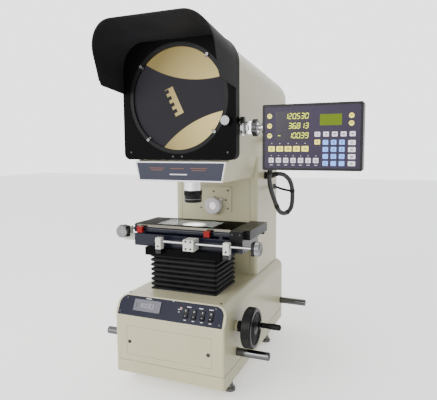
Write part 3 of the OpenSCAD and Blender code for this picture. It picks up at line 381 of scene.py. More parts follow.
def coated(name, colour, rough=0.42, fine=900.0, depth=0.00006, mottle=0.1, wear=0.4, worn=0.05,
           wear_width=0.0015, dust=0.0, coat=0.0, shine=0.2):
    """Paint or plastic: mottled colour, edges rubbed to a grey or a colour, dust and a fine relief."""
    graph, shader = blank(name)
    grain = graph.group("grain", {"Fine": fine})
    edge = graph.group("wear", {"Width": wear_width})["Mask"]
    settled = graph.group("dust")["Mask"]
    tone = graph.mix(grain["Mottle"], *shades(colour, mottle))
    rubbed = graph.mix(graph.times(edge, wear), tone, worn if isinstance(worn, tuple) else (worn,) * 3)
    graph.feed(shader, {
        "Base Color": graph.mix(graph.times(settled, dust), rubbed, DUST),
        "Roughness": graph.span(grain["Mottle"], 0.0, 1.0, rough - 0.05, rough + 0.06),
        "Normal": graph.bump(grain["Relief"], depth, 0.6),
        "Coat Weight": coat,
        "Specular IOR Level": shine,
    })
    return graph, shader


def repainted(graph, shader, mask, colour):
    """Paints over a shader's colour where a mask is full."""
    base = shader.inputs["Base Color"].links[0].from_socket
    graph.feed(shader, {"Base Color": graph.mix(mask, base, colour)})


def metal(name, colour, rough, lines, contrast=0.12, spread=0.12, rim=1.0):
    """Bare metal with drawn lines; rim dims what it mirrors at a low angle."""
    graph, shader = blank(name)
    line = graph.group("brush", dict(enumerate(lines)))["Line"]
    stain = graph.times(graph.group("grain", {"Broad": 30.0})["Mottle"], 0.12)
    graph.feed(shader, {
        "Base Color": graph.mix(stain, graph.mix(line, *shades(colour, contrast)), shades(colour, 0.3)[0]),
        "Roughness": graph.span(line, 0.0, 1.0, rough, rough + spread),
        "Normal": graph.bump(line, 0.00002, 0.5),
        "Metallic": 1.0,
        "Specular Tint": (rim,) * 3,
    })


def glass(name, colour, rough, ior, lit_from=None, reach=0.0):
    """Clear optical glass with faint smears, and the pool of the contour light where it passes through."""
    graph, shader = blank(name)
    smear = graph.group("grain", {"Broad": 25.0})["Mottle"]
    graph.feed(shader, {
        "Base Color": graph.mix(smear, *shades(colour, 0.04)),
        "Roughness": graph.span(smear, 0.0, 1.0, rough, rough + 0.05),
        "Transmission Weight": 0.85,
        "IOR": ior,
        "Specular Tint": (0.35,) * 3,
    })
    if lit_from:
        x, y, _ = graph.xyz(graph.place())
        pool = graph.span(graph.far(x, y, *lit_from), reach, reach * 0.35)
        glow = graph.mix(pool, ZERO, (1.0, 0.97, 0.88))
        graph.feed(shader, {"Emission Color": glow, "Emission Strength": 1.6})


def lit(name, colour, strength, grid, dark):
    """A lit display face with a fine cell grid."""
    graph, shader = blank(name)
    cells = graph.add("ShaderNodeTexVoronoi", {"Vector": graph.place(), "Scale": grid})
    shade = graph.span(cells.outputs["Distance"], 0.2, 0.7)
    glow = graph.mix(shade, colour, tuple(c * dark for c in colour))
    graph.feed(shader, {
        "Base Color": glow,
        "Emission Color": glow,
        "Emission Strength": strength,
        "Roughness": graph.span(shade, 0.0, 1.0, 0.25, 0.4),
        "Specular IOR Level": 0.12,
    })


def screen_image(name, paint):
    """Ground glass with the shadow of the work: two bright fields, a dark band and a toothed gauge."""
    graph, shader = blank(name)
    low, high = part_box("screen_glass")
    centre = (low + high) / 2
    u, _, v = graph.xyz(graph.add("ShaderNodeMapping", {
        "Vector": graph.place(),
        "Location": tuple(-c / SCREEN_REACH for c in centre),
        "Scale": (1 / SCREEN_REACH,) * 3,
    }, vector_type="POINT"))

    def disc(a, b, r):
        """Mask of a disc about a point."""
        return graph.span(graph.far(u, v, a, b), r + SCREEN_BLUR / 2, r - SCREEN_BLUR / 2)

    def along(angle, a, b):
        """Distance from a point along a direction."""
        du = graph.math("SUBTRACT", u, a)
        dv = graph.math("SUBTRACT", v, b)
        return graph.math("ADD", graph.times(du, math.cos(angle)), graph.times(dv, math.sin(angle)))

    def band(value, start, stop):
        """Mask of a band of the picture."""
        return graph.between(value, start, stop, SCREEN_BLUR)

    s = along(GAUGE_RUN, *GAUGE_FOOT)
    t = along(GAUGE_RUN - math.pi / 2, *GAUGE_FOOT)
    spine = graph.times(band(s, -0.051, 0.531), band(t, -0.071, 0.051))
    teeth = graph.math("FRACT", graph.times(graph.math("ADD", s, TEETH_START), TEETH_RATE))
    comb = graph.times(band(s, -0.056, 0.541), band(t, 0.024, 0.131), graph.span(teeth, 0.48, 0.58))
    bright = graph.chain("MAXIMUM", *(disc(*field) for field in FIELDS), spine, comb)
    grain = graph.group("grain", {"Fine": 1500.0})
    fall_off = graph.span(graph.far(u, v, *BRIGHTEST), 0.25, 1.75)
    gold = graph.mix(fall_off, (1.10, 0.88, 0.37), tuple(c * 0.52 for c in paint.gold))
    graph.feed(shader, {
        "Emission Color": graph.mix(bright, graph.mix(grain["Mottle"], *shades(paint.shadow, 0.10)), gold),
        "Emission Strength": 1.0,
        "Specular IOR Level": 0.06,
        "Base Color": graph.mix(grain["Relief"], (0.004, 0.004, 0.005), (0.007, 0.007, 0.008)),
        "Roughness": graph.span(grain["Relief"], 0.0, 1.0, 0.38, 0.55),
    })


def panel_print(name, colour):
    """Nose panel: satin blue face with plain printed stripes."""
    graph, shader = coated(name, colour, rough=0.36, fine=700.0, mottle=0.05, wear=0.2, worn=(0.5, 0.5, 0.48),
                           dust=0.03, shine=0.25)
    x, _, z = graph.xyz(graph.place())

    def stripe(left, right, foot, height=3.0):
        """Mask of a stripe measured in millimetres."""
        sides = graph.between(x, left * MM, right * MM, 0.0004)
        return graph.times(sides, graph.between(z, foot * MM, (foot + height) * MM, 0.0004))

    stripes = ((-103, -50, 662), (-96, -56, 656), (-30, 16, 661), (36, 92, 662), (42, 86, 656))
    orange = graph.chain("MAXIMUM", *(stripe(*row) for row in stripes))
    repainted(graph, shader, graph.times(orange, 0.6), (0.17, 0.060, 0.02))
    repainted(graph, shader, graph.times(stripe(-32, 26, 643, 3.5), 0.8), (0.7, 0.7, 0.75))


def bracket_paint(name, paint):
    """Drive block finish that turns black below the blocks of the photograph."""
    graph, shader = coated(name, paint.block, **BLOCK)
    height = graph.xyz(graph.place())[2]
    repainted(graph, shader, graph.span(height, 0.4134, 0.4128), paint.black)


def cable_jacket(name):
    """Braided sleeve over the harness, drawn on the tube's own map."""
    graph, shader = blank(name)
    along, around, _ = graph.xyz(graph.place("UV"))
    along = graph.times(along, BRAID_PITCH)
    around = graph.times(around, BRAID_TURNS)
    strands = (graph.math("SINE", graph.math(way, along, around)) for way in ("ADD", "SUBTRACT"))
    weave = graph.span(graph.times(*strands), -0.6, 0.6)
    tone = graph.mix(weave, (0.006, 0.006, 0.007), (0.024, 0.024, 0.026))
    graph.feed(shader, {
        "Base Color": graph.mix(graph.times(graph.group("grain")["Mottle"], 0.3), tone, (0.03, 0.03, 0.03)),
        "Roughness": graph.span(weave, 0.0, 1.0, 0.45, 0.65),
        "Normal": graph.bump(weave, 0.0004, 0.7),
    })


# Settings that several coated finishes share
BLOCK = {"rough": 0.45, "fine": 800.0, "mottle": 0.06, "worn": (0.7, 0.7, 0.68), "dust": 0.10, "shine": 0.35}
KEY = {"fine": 1500.0, "wear": 0.3, "wear_width": 0.0004, "shine": 0.5}


def make_finishes(paint):
    """Every finish of the comparator, once."""
    GROUPS.update(grain=grain_group(), wear=wear_group(), dust=dust_group(), brush=brush_group())
    coated("ivory_enamel", paint.ivory, rough=0.36, fine=520.0, depth=0.00005, mottle=0.035, wear=0.25,
           worn=(0.72, 0.70, 0.60), dust=0.10, coat=0.10, shine=0.35)
    # Painted shade: darkened ivory for the strips laid in the column's seam grooves
    coated("seam_shadow", tuple(c * 0.25 for c in paint.ivory), rough=0.6, wear=0.0)
    coated("black_enamel", paint.black, depth=0.00008, mottle=0.25, worn=0.02, shine=0.025)
    coated("hood_black", tuple(c * 7.0 for c in paint.black), rough=0.50, fine=1200.0, depth=0.00012,
           mottle=0.25, worn=0.02, shine=0.03)
    coated("ring_black", (0.006, 0.006, 0.0065), rough=0.33, mottle=0.2, wear=0.5, shine=0.08)
    coated("navy_panel", paint.navy, rough=0.36, fine=1200.0, mottle=0.08, wear=0.25, worn=(0.12, 0.12, 0.15),
           dust=0.03, shine=0.12)
    panel_print("nose_blue", paint.blue)
    coated("lilac_trim", paint.border, rough=0.4, mottle=0.04, wear=0.2, worn=(0.8, 0.8, 0.82), dust=0.10,
           shine=0.5)
    coated("table_side", paint.table, rough=0.22, fine=600.0, mottle=0.15, wear=0.5, worn=(0.20, 0.20, 0.22),
           dust=0.02, coat=0.08, shine=0.18)
    coated("drive_block", paint.block, **BLOCK)
    bracket_paint("bracket_grey", paint)
    coated("scale_grey", (0.005, 0.005, 0.0055), rough=0.34, wear=0.5, worn=0.16, shine=0.10)
    coated("phenolic_black", (0.004, 0.004, 0.004), rough=0.36, fine=400.0, mottle=0.2, wear=0.5, worn=0.03,
           dust=0.01, coat=0.03, shine=0.14)
    coated("moulded_black", (0.006, 0.006, 0.0065), rough=0.45, fine=1800.0, depth=0.00010, mottle=0.15,
           dust=0.03)
    coated("readout_black", (0.008, 0.008, 0.010), fine=1800.0, depth=0.00012, mottle=0.12, wear=0.5,
           worn=(0.08, 0.08, 0.09), dust=0.04)
    coated("meter_grey", (0.078, 0.076, 0.098), rough=0.3, fine=1200.0, mottle=0.06, worn=(0.5, 0.5, 0.55),
           dust=0.10, shine=0.3)
    coated("signal_red", paint.red, rough=0.3, fine=600.0, mottle=0.12, worn=(0.32, 0.02, 0.015), dust=0.02,
           coat=0.03, shine=0.15)
    coated("key_sheet", paint.violet, rough=0.40, fine=1600.0, mottle=0.14, wear=0.1, worn=(0.5, 0.5, 0.48),
           dust=0.02, shine=0.22)
    coated("yellow_key", paint.key_yellow, mottle=0.05, worn=(0.8, 0.76, 0.4), **KEY)
    coated("white_key", paint.key_white, mottle=0.04, worn=0.8, **KEY)
    coated("blue_key", paint.key_blue, mottle=0.05, worn=(0.45, 0.6, 0.85), **KEY)
    coated("print_white", (0.62, 0.62, 0.66), rough=0.5, fine=2000.0, wear=0.0, shine=0.5)
    coated("print_dark", (0.02, 0.02, 0.035), rough=0.5, fine=2000.0, mottle=0.2, wear=0.0)
    coated("cloth_rubber", (0.006, 0.006, 0.0065), rough=0.55, fine=1400.0, depth=0.00025, mottle=0.3,
           wear=0.5, worn=(0.025, 0.025, 0.026), wear_width=0.002, dust=0.02, shine=0.15)
    coated("strap_black", (0.007, 0.007, 0.007), rough=0.45, fine=1500.0, mottle=0.15, wear=0.3, dust=0.02)
    coated("window_black", (0.017, 0.012, 0.021), rough=0.25, fine=2000.0, depth=0.00001, mottle=0.2,
           wear=0.0, shine=0.25)
    coated("pearl_grey", (0.46, 0.44, 0.46), rough=0.34, fine=700.0, mottle=0.05, wear=0.3, worn=0.7,
           dust=0.10, coat=0.1, shine=0.35)
    metal("ground_steel", (0.16, 0.15, 0.125), rough=0.13, lines=(6.0, 700.0, 700.0), rim=0.12)
    metal("bar_chrome", (0.32, 0.32, 0.33), rough=0.10, lines=(5.0, 500.0, 500.0), contrast=0.03,
          spread=0.05, rim=0.5)
    metal("bar_steel", (0.12, 0.12, 0.125), rough=0.12, lines=(5.0, 500.0, 500.0), contrast=0.05,
          spread=0.05, rim=0.5)
    metal("silver_aluminium", (0.21, 0.21, 0.215), rough=0.27, lines=(300.0, 300.0, 300.0), contrast=0.20,
          rim=0.6)
    metal("arm_silver", (0.78, 0.78, 0.79), rough=0.22, lines=(200.0, 200.0, 200.0), contrast=0.05)
    metal("foot_steel", (0.13, 0.13, 0.125), rough=0.20, lines=(200.0, 200.0, 30.0), contrast=0.2, rim=0.4)
    metal("dull_silver", (0.17, 0.17, 0.18), rough=0.30, lines=(300.0, 300.0, 300.0), contrast=0.15, rim=0.5)
    metal("dark_steel", (0.06, 0.06, 0.063), rough=0.34, lines=(200.0, 200.0, 200.0), contrast=0.15)
    metal("mirror_silver", (0.88, 0.88, 0.90), rough=0.03, lines=(10.0, 10.0, 10.0), contrast=0.02,
          spread=0.02)
    glass("stage_crystal", (0.93, 0.97, 0.95), rough=0.02, ior=1.03, lit_from=(0.0, 0.006), reach=0.042)
    glass("lens_crystal", (0.80, 0.86, 0.95), rough=0.0, ior=1.5)
    lit("lit_digits", paint.digit, strength=1.5, grid=2600.0, dark=0.8)
    lit("olive_display", paint.crystal, strength=1.1, grid=900.0, dark=0.82)
    lit("meter_window", (0.20, 0.195, 0.225), strength=0.35, grid=700.0, dark=0.9)
    lit("pale_light", (0.62, 0.58, 0.58), strength=1.2, grid=500.0, dark=0.92)
    lit("red_lamp", (0.45, 0.02, 0.01), strength=0.8, grid=900.0, dark=0.6)
    screen_image("screen_image", paint)
    cable_jacket("braided_sleeve")


# CAD solids by the finish that they are painted with
PAINTED = {
    "ivory_enamel": ["base_tray", "base_housing", "front_cover", "column_housing", "illuminator_plate",
                     "nose_housing", "head_housing"],
    "black_enamel": ["screen_frame", "lift_plate"],
    "hood_black": ["hood"],
    "ring_black": ["screen_ring", "ring_drive_knob"],
    "navy_panel": ["control_panel"],
    "nose_blue": ["nose_panel"],
    "meter_grey": ["running_counter"],
    "foot_steel": ["levelling_feet"],
    "bar_steel": ["carry_bars"],
    "bar_chrome": ["x_drive_rod", "y_drive_rod", "readout_bar"],
    "moulded_black": ["mains_inlet", "harness_glands", "rocker_1", "rocker_2", "rocker_3", "rocker_4"],
    "drive_block": ["x_drive_nut", "y_drive_brackets"],
    "bracket_grey": ["x_drive_brackets"],
    "arm_silver": ["arm_flange", "arm_knuckle", "lens_barrel"],
    "dark_steel": ["arm_clamp_ring"],
    "scale_grey": ["y_scale_housing", "lamp_housing"],
    "table_side": ["x_carriage", "table_body"],
    "ground_steel": ["table_plate", "lift_ram", "lead_screw", "handwheel_shaft"],
    "dull_silver": ["ring_lock_knob"],
    "pearl_grey": ["illuminator_tube"],
    "phenolic_black": ["handwheel", "crank_grip", "lens_ring"],
    "signal_red": ["clamp_knob_left", "clamp_knob_right"],
    "readout_black": ["readout_case"],
    "stage_crystal": ["stage_glass"],
    "lens_crystal": ["lens_glass", "condenser_lens"],
    "mirror_silver": ["projection_mirrors"],
    "screen_image": ["screen_glass"],
}


# Mesh helpers


def linked(name, data):
    """A new object in the scene."""
    obj = bpy.data.objects.new(name, data)
    bpy.context.scene.collection.objects.link(obj)
    return obj


def piece(mesh, name, body, slot, finish, replaced=(), smooth=30.0):
    """Links a finished mesh as a piece that rides on a body."""
    obj = linked(name, mesh)
    mesh.materials.clear()
    mesh.materials.append(FINISH[finish])
    if smooth:
        mesh.shade_smooth()
        mesh.set_sharp_from_angle(angle=math.radians(smooth))
    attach(obj, body)
    if replaced:
        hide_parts(*replaced)
    return obj


@contextmanager
def edited(mesh):
    """A mesh opened for edits that are written back."""
    work = bmesh.new()
    work.from_mesh(mesh)
    yield work
    work.to_mesh(mesh)
    work.free()


def mesh_of(name, verts, faces):
    """A mesh with merged doubles and outward faces."""
    mesh = bpy.data.meshes.new(name)
    mesh.from_pydata([tuple(v) for v in verts], [], faces)
    with edited(mesh) as work:
        bmesh.ops.remove_doubles(work, verts=work.verts, dist=1e-6)
        bmesh.ops.recalc_face_normals(work, faces=work.faces)
    return mesh


def axes(aim):
    """A turn whose Z is the aim and whose X lies to the right, or upward for an aim to the side."""
    z = Vector(aim).normalized()
    along = RIGHT if abs(z.x) < 0.9 else UP
    x = (along - z * along.dot(z)).normalized()
    return Matrix((x, z.cross(x), z)).transposed()


def placed(points, origin, aim):
    """Points drawn on a face, put in their place."""
    turn = axes(aim)
    return [Vector(origin) + turn @ Vector(point) for point in points]


def circle(steps):
    """Cosines and sines once round."""
    return [(math.cos(a), math.sin(a)) for a in (2 * math.pi * k / steps for k in range(steps))]


def skin(rings, sides, closed=False):
    """Four-sided faces from each ring of points to the next, and from the last to the first if closed."""
    faces = []
    for i in range(rings if closed else rings - 1):
        j = (i + 1) % rings
        for k in range(sides):
            n = (k + 1) % sides
            faces.append((i * sides + k, i * sides + n, j * sides + n, j * sides + k))
    return faces


def turned(name, profile, origin, aim, steps, *looks):
    """A turned piece: profile points (radius, height) in millimetres about an axis, closed at its ends."""
    points = [(r * c * MM, r * s * MM, h * MM) for r, h in profile for c, s in circle(steps)]
    faces = skin(len(profile), steps)
    for i in (0, len(profile) - 1):
        if profile[i][0]:
            faces.append([i * steps + k for k in range(steps)])
    return piece(mesh_of(name, placed(points, origin, aim), faces), name, *looks)


def plates(name, outlines, origin, aim, low, high, *looks, soften=0.0):
    """Flat plates from outlines drawn on a face, from low to high above it, their rims softened if asked."""
    verts = []
    faces = []
    for outline in outlines:
        n = len(outline)
        start = len(verts)
        verts += placed([(x, y, h) for h in (low, high) for x, y in outline], origin, aim)
        faces += [range(start, start + n), range(start + n, start + 2 * n)]
        faces += [[start + k for k in face] for face in skin(2, n)]
    mesh = mesh_of(name, verts, [tuple(face) for face in faces])
    if soften:
        with edited(mesh) as work:
            rims = [e for e in work.edges if len(e.link_faces) == 2 and e.calc_face_angle(0.0) > 1.2]
            bmesh.ops.bevel(work, geom=rims, offset=soften, segments=2, affect="EDGES", clamp_overlap=True)
    return piece(mesh, name, *looks)


def border(name, outer, inner, origin, height, *looks):
    """A thin raised border between two outlines on a face that looks to the front."""
    levels = ((outer, 0.0), (outer, height), (inner, height), (inner, 0.0))
    verts = placed([(x, y, h) for loop, h in levels for x, y in loop], origin, FRONT)
    return piece(mesh_of(name, verts, skin(len(levels), len(outer), True)), name, *looks)


def rounded(w, h, r, cx=0.0, cy=0.0, steps=5):
    """Outline of a rectangle with round corners."""
    points = []
    for sx, sy, start in ((1, 1, 0), (-1, 1, 90), (-1, -1, 180), (1, -1, 270)):
        for k in range(steps + 1):
            a = math.radians(start + 90 * k / steps)
            points.append((cx + sx * (w / 2 - r) + r * math.cos(a), cy + sy * (h / 2 - r) + r * math.sin(a)))
    return points


def panel_spot(x, s, out=PANEL_PRINT):
    """A point of the slanted control panel: across, up the slope and out of it, in millimetres."""
    return PANEL_FOOT + (RIGHT * x + PANEL_UP * s + PANEL_OUT * out) * MM


def readout_spot(x, z, out=0.0):
    """A point of the readout's key sheet: across, up and out of it, in millimetres."""
    return READOUT_FACE + Vector((x, -out, z)) * MM


# Geometry trees


def geometry_tree(name, sizes):
    """The graph of an empty geometry tree, and its inputs: a geometry, the named sizes and a material."""
    tree = bpy.data.node_groups.new(name, "GeometryNodeTree")
    tree.interface.new_socket("Geometry", in_out="INPUT", socket_type="NodeSocketGeometry")
    for key, value in sizes.items():
        kind = "NodeSocketInt" if isinstance(value, int) else "NodeSocketFloat"
        tree.interface.new_socket(key, in_out="INPUT", socket_type=kind).default_value = value
    tree.interface.new_socket("Material", in_out="INPUT", socket_type="NodeSocketMaterial")
    tree.interface.new_socket("Geometry", in_out="OUTPUT", socket_type="NodeSocketGeometry")
    graph = Graph(tree)
    return graph, graph.add("NodeGroupInput").outputs


def on_spots(graph, given, shape):
    """The tree that puts a painted shape on every point, turned by its facing and sized by its span."""
    facing, span = (graph.add("GeometryNodeInputNamedAttribute", {"Name": name}, data_type="FLOAT_VECTOR")
                    for name in ("facing", "span"))
    turn = graph.add("FunctionNodeEulerToRotation", {0: facing})
    copies = graph.add("GeometryNodeInstanceOnPoints", {
        "Points": given["Geometry"], "Instance": shape, "Rotation": turn, "Scale": span})
    real = graph.add("GeometryNodeRealizeInstances", {0: copies})
    painted = graph.add("GeometryNodeSetMaterial", {"Geometry": real, "Material": given["Material"]})
    return graph.close({0: painted})


def joined(graph, *parts):
    """Some geometry joined into one."""
    node = graph.add("GeometryNodeJoinGeometry")
    for part in parts:
        graph.feed(node, {0: part})
    return node


def raised(graph, outline, height, share, shrink):
    """A filled outline raised to a height, with its upper share drawn in."""
    filled = graph.add("GeometryNodeFillCurve", {0: outline})
    low = graph.add("GeometryNodeExtrudeMesh", {
        "Mesh": filled, "Offset Scale": graph.times(height, 1.0 - share), "Individual": False})
    upper = {"Mesh": low, "Selection": low.outputs["Top"]}
    top = graph.add("GeometryNodeExtrudeMesh", {
        **upper, "Offset Scale": graph.times(height, share), "Individual": False})
    return graph.add("GeometryNodeScaleElements", {
        "Geometry": top, "Selection": top.outputs["Top"], "Scale": shrink})


def round_rectangle(graph, given, depth, count):
    """A rectangle's curve with round corners."""
    sides = {"Width": given["Width"], "Height": given[depth]}
    outline = graph.add("GeometryNodeCurvePrimitiveQuadrilateral", sides, mode="RECTANGLE")
    return graph.add("GeometryNodeFilletCurve", {
        "Curve": outline, "Radius": given["Corner"], "Count": count, "Limit Radius": True}, mode="POLY")


def ring_curve(graph, count, radius):
    """A circle's curve of so many points."""
    return graph.add("GeometryNodeCurvePrimitiveCircle", {"Resolution": count, "Radius": radius})


def screw_tree():
    """Cap screws with a hexagon socket."""
    graph, given = geometry_tree("Cap Screws",
                                 {"Head Radius": 0.003, "Head Height": 0.002, "Socket Radius": 0.0015})
    rim, hexagon = (ring_curve(graph, count, given[radius])
                    for count, radius in ((20, "Head Radius"), (6, "Socket Radius")))
    head = raised(graph, joined(graph, rim, hexagon), given["Head Height"], 0.3, 0.88)
    floor = graph.add("GeometryNodeFillCurve", {0: hexagon})
    depth = graph.vector(z=graph.times(given["Head Height"], 0.3))
    sunk = graph.add("GeometryNodeTransform", {"Geometry": floor, "Translation": depth})
    return on_spots(graph, given, joined(graph, head, sunk))


def key_tree():
    """Raised key caps with round corners."""
    graph, given = geometry_tree("Key Caps",
                                 {"Width": 0.014, "Height": 0.013, "Corner": 0.002, "Rise": 0.0008})
    cap = raised(graph, round_rectangle(graph, given, "Height", 6), given["Rise"], 0.4, 0.94)
    return on_spots(graph, given, cap)


def knurl_tree():
    """Straight ridges round a drum."""
    graph, given = geometry_tree("Knurled Rim",
                                 {"Radius": 0.022, "Length": 0.018, "Ridge": 0.0012, "Count": 60})
    ring = ring_curve(graph, given["Count"], given["Radius"])
    ridge = graph.add("GeometryNodeMeshCylinder", {
        "Vertices": 4, "Radius": given["Ridge"], "Depth": given["Length"]})
    place = graph.add("GeometryNodeInputPosition")
    outward = graph.add("FunctionNodeAlignRotationToVector", {"Vector": place}, axis="X")
    ridges = graph.add("GeometryNodeInstanceOnPoints",
                       {"Points": ring, "Instance": ridge, "Rotation": outward})
    return on_spots(graph, given, graph.add("GeometryNodeRealizeInstances", {0: ridges}))


def tick_tree():
    """Printed bars and graduation lines, each with its own length and width."""
    graph, given = geometry_tree("Printed Bars", {"Thickness": 0.0002})
    size = graph.vector(1.0, 1.0, given["Thickness"])
    return on_spots(graph, given, graph.add("GeometryNodeMeshCube", {"Size": size}))


def bellows_tree():
    """A folded cover: a pleated section swept round a rectangle with round corners."""
    graph, given = geometry_tree("Pleated Bellows", {
        "Width": 0.22, "Depth": 0.17, "Height": 0.11, "Corner": 0.008, "Fold": 0.011, "Pleats": 7})
    wall = graph.add("GeometryNodeCurvePrimitiveLine",
                     {"Start": ZERO, "End": graph.vector(z=given["Height"])})
    rows = graph.math("ADD", graph.times(given["Pleats"], 8.0), 1.0)
    steps = graph.add("GeometryNodeResampleCurve", {"Curve": wall, "Count": rows})
    tube_mesh = graph.add("GeometryNodeCurveToMesh", {
        "Curve": steps, "Profile Curve": round_rectangle(graph, given, "Depth", 5)})
    x, y, z = graph.xyz(graph.add("GeometryNodeInputPosition"))
    wave = graph.math("COSINE",
                      graph.times(graph.math("DIVIDE", z, given["Height"]), given["Pleats"], math.pi))
    sharp = graph.math("POWER", graph.math("SUBTRACT", 1.0, graph.math("ABSOLUTE", wave)), 1.3)
    inward = graph.times(sharp, given["Fold"], 2.0)
    drawn_in = [graph.times(value, graph.math("SUBTRACT", 1.0, graph.math("DIVIDE", inward, given[side])))
                for value, side in ((x, "Width"), (y, "Depth"))]
    folded = graph.add("GeometryNodeSetPosition",
                       {"Geometry": tube_mesh, "Position": graph.vector(*drawn_in, z)})
    return on_spots(graph, given, folded)


MAKERS = {"screw": screw_tree, "key": key_tree, "knurl": knurl_tree, "tick": tick_tree,
          "bellows": bellows_tree}


@functools.cache
def tree_of(key):
    """A geometry tree, built the first time it is wanted."""
    return MAKERS[key]()


def grown(name, key, spots, values, body, slot, finish, replaced=(), smooth=30.0):
    """A piece that a geometry tree grows on spots: (place, aim) or (place, aim, span)."""
    mesh = bpy.data.meshes.new(name + "_spots")
    mesh.from_pydata([tuple(spot[0]) for spot in spots], [], [])
    facing = mesh.attributes.new("facing", "FLOAT_VECTOR", "POINT")
    span = mesh.attributes.new("span", "FLOAT_VECTOR", "POINT")
    for i, spot in enumerate(spots):
        facing.data[i].vector = axes(spot[1]).to_euler()
        span.data[i].vector = spot[2] if len(spot) > 2 else (1, 1, 1)
    seed = linked(name + "_seed", mesh)
    tree = tree_of(key)
    modifier = seed.modifiers.new("Grow", "NODES")
    modifier.node_group = tree
    given = dict(values, Material=FINISH[finish])
    for item in tree.interface.items_tree:
        if item.item_type == "SOCKET" and item.in_out == "INPUT" and item.name in given:
            modifier[item.identifier] = given[item.name]
    seed.update_tag()
    grown_mesh = bpy.data.meshes.new_from_object(seed.evaluated_get(bpy.context.evaluated_depsgraph_get()))
    bpy.data.objects.remove(seed)
    bpy.data.meshes.remove(mesh)
    if not grown_mesh.polygons:
        raise RuntimeError(name + " grew no faces")
    with edited(grown_mesh) as work:
        bmesh.ops.remove_doubles(work, verts=work.verts, dist=1e-7)
    grown_mesh.name = name
    return piece(grown_mesh, name, body, slot, finish, replaced, smooth)


def printed(name, spots, thickness, body, slot, finish):
    """Flat printed bars."""
    return grown(name, "tick", spots, {"Thickness": thickness}, body, slot, finish, smooth=0)


def bars(spot, aim, out, rows):
    """Spots of printed bars on a face, from rows of across, up, width and height in millimetres."""
    return [(spot(x, y, out), aim, (w * MM, h * MM, 1)) for x, y, w, h in rows]


def knurled(name, place, aim, radius, length, ridge, count, *looks):
    """Straight ridges about an axis, measured in millimetres."""
    values = {"Radius": radius * MM, "Length": length * MM, "Ridge": ridge * MM, "Count": count}
    return grown(name, "knurl", [(place, aim)], values, *looks)


def number_outlines(text, x, y, h, lean, weight=0.16):
    """Outlines of a number in seven bars, its lower left corner at x, y."""
    w = h * MARK_WIDTH
    t = h * weight / 2
    ends = {"a": ((0, h), (w, h)), "b": ((w, h), (w, h / 2)), "c": ((w, h / 2), (w, 0)),
            "d": ((0, 0), (w, 0)), "e": ((0, h / 2), (0, 0)), "f": ((0, h), (0, h / 2)),
            "g": ((0, h / 2), (w, h / 2))}
    outlines = []
    for mark in text:
        if mark == ".":
            cx = x - h * POINT_BACK
            outlines.append([(cx - t, y - t), (cx + t, y - t), (cx + t, y + t), (cx - t, y + t)])
            continue
        for key in BARS[mark]:
            start, stop = (Vector(end) for end in ends[key])
            along = (stop - start).normalized() * t
            side = Vector((-along.y, along.x))
            a = start + along / 2
            b = stop - along / 2
            loop = [a, a + along + side, b - along + side, b, b - along - side, a + along - side]
            outlines.append([(x + p.x + lean * p.y, y + p.y) for p in loop])
        x += h * MARK_STEP
    return outlines


class ComparatorOperator(bpy.types.Operator):
    """Shared calls of the comparator's operators."""

    bl_options = {"REGISTER", "UNDO"}

    @property
    def paint(self):
        """The colours in the scene."""
        return bpy.context.scene.comparator_paint

    @property
    def sizes(self):
        """The small sizes in the scene."""
        return bpy.context.scene.comparator_sizes

    @property
    def studio(self):
        """The studio's settings in the scene."""
        return bpy.context.scene.comparator_studio


class COMPARATOR_OT_studio(ComparatorOperator):
    """Camera at the photograph's angle, pale floor and soft lights"""

    bl_idname = "comparator.studio"
    bl_label = "Studio"

    def execute(self, context):
        """Makes the stage."""
        self.camera(context.scene)
        self.floor()
        self.sky(context.scene)
        lamp = bpy.data.lights.new("key_light", "AREA")
        lamp.size = LAMP_WIDTH
        lamp.energy = self.studio.key
        light = linked("key_light", lamp)
        light.location = LAMP_PLACE
        light.rotation_euler = (LAMP_AIM - LAMP_PLACE).to_track_quat("-Z", "Y").to_euler()
        return {"FINISHED"}

    def camera(self, scene):
        """Aims the camera."""
        turn, tip, roll = (math.radians(v) for v in EYE_TURNS)
        look = Vector((-math.sin(turn) * math.cos(tip), math.cos(turn) * math.cos(tip), -math.sin(tip)))
        side = Vector((math.cos(turn), math.sin(turn), 0))
        over = side.cross(look)
        x = side * math.cos(roll) + over * math.sin(roll)
        y = over * math.cos(roll) - side * math.sin(roll)
        camera = bpy.data.cameras.new("photo_camera")
        camera.sensor_width = SENSOR_WIDTH
        camera.lens = EYE_FOCUS * SENSOR_WIDTH
        camera.shift_x, camera.shift_y = EYE_SHIFT
        camera.clip_end = 100.0
        scene.camera = linked("photo_camera", camera)
        facing = Matrix((x, y, -look)).transposed().to_4x4()
        scene.camera.matrix_world = Matrix.Translation(EYE_PLACE) @ facing

    def floor(self):
        """Lays the floor."""
        corners = [(x * FLOOR_REACH, y * FLOOR_REACH, 0) for x, y in ((-1, -1), (1, -1), (1, 1), (-1, 1))]
        mesh = mesh_of("floor", corners, [(0, 1, 2, 3)])
        graph, shader = blank("pale_floor")
        graph.feed(shader, {
            "Base Color": graph.mix(graph.noise(1.5, 2.0), *shades(self.studio.floor, 0.01)),
            "Roughness": 0.7,
            "Emission Color": self.studio.floor,
            "Emission Strength": FLOOR_GLOW,
        })
        mesh.materials.append(FINISH["pale_floor"])
        linked("floor", mesh)

    def sky(self, scene):
        """White surround that dims to the right and overhead."""
        scene.world = bpy.data.worlds.new("white_surround")
        scene.world.use_nodes = True
        graph = Graph(scene.world.node_tree)
        x, _, z = graph.xyz(graph.place("Generated"))
        share = graph.times(graph.span(x, 0.04, 0.85, 1.0, self.studio.shade),
                            graph.span(z, 0.33, 0.85, 1.0, self.studio.overhead))
        graph.feed(graph.tree.nodes["Background"], {
            "Color": graph.mix(share, ZERO, (1.0, 1.0, 1.0)), "Strength": self.studio.sky})


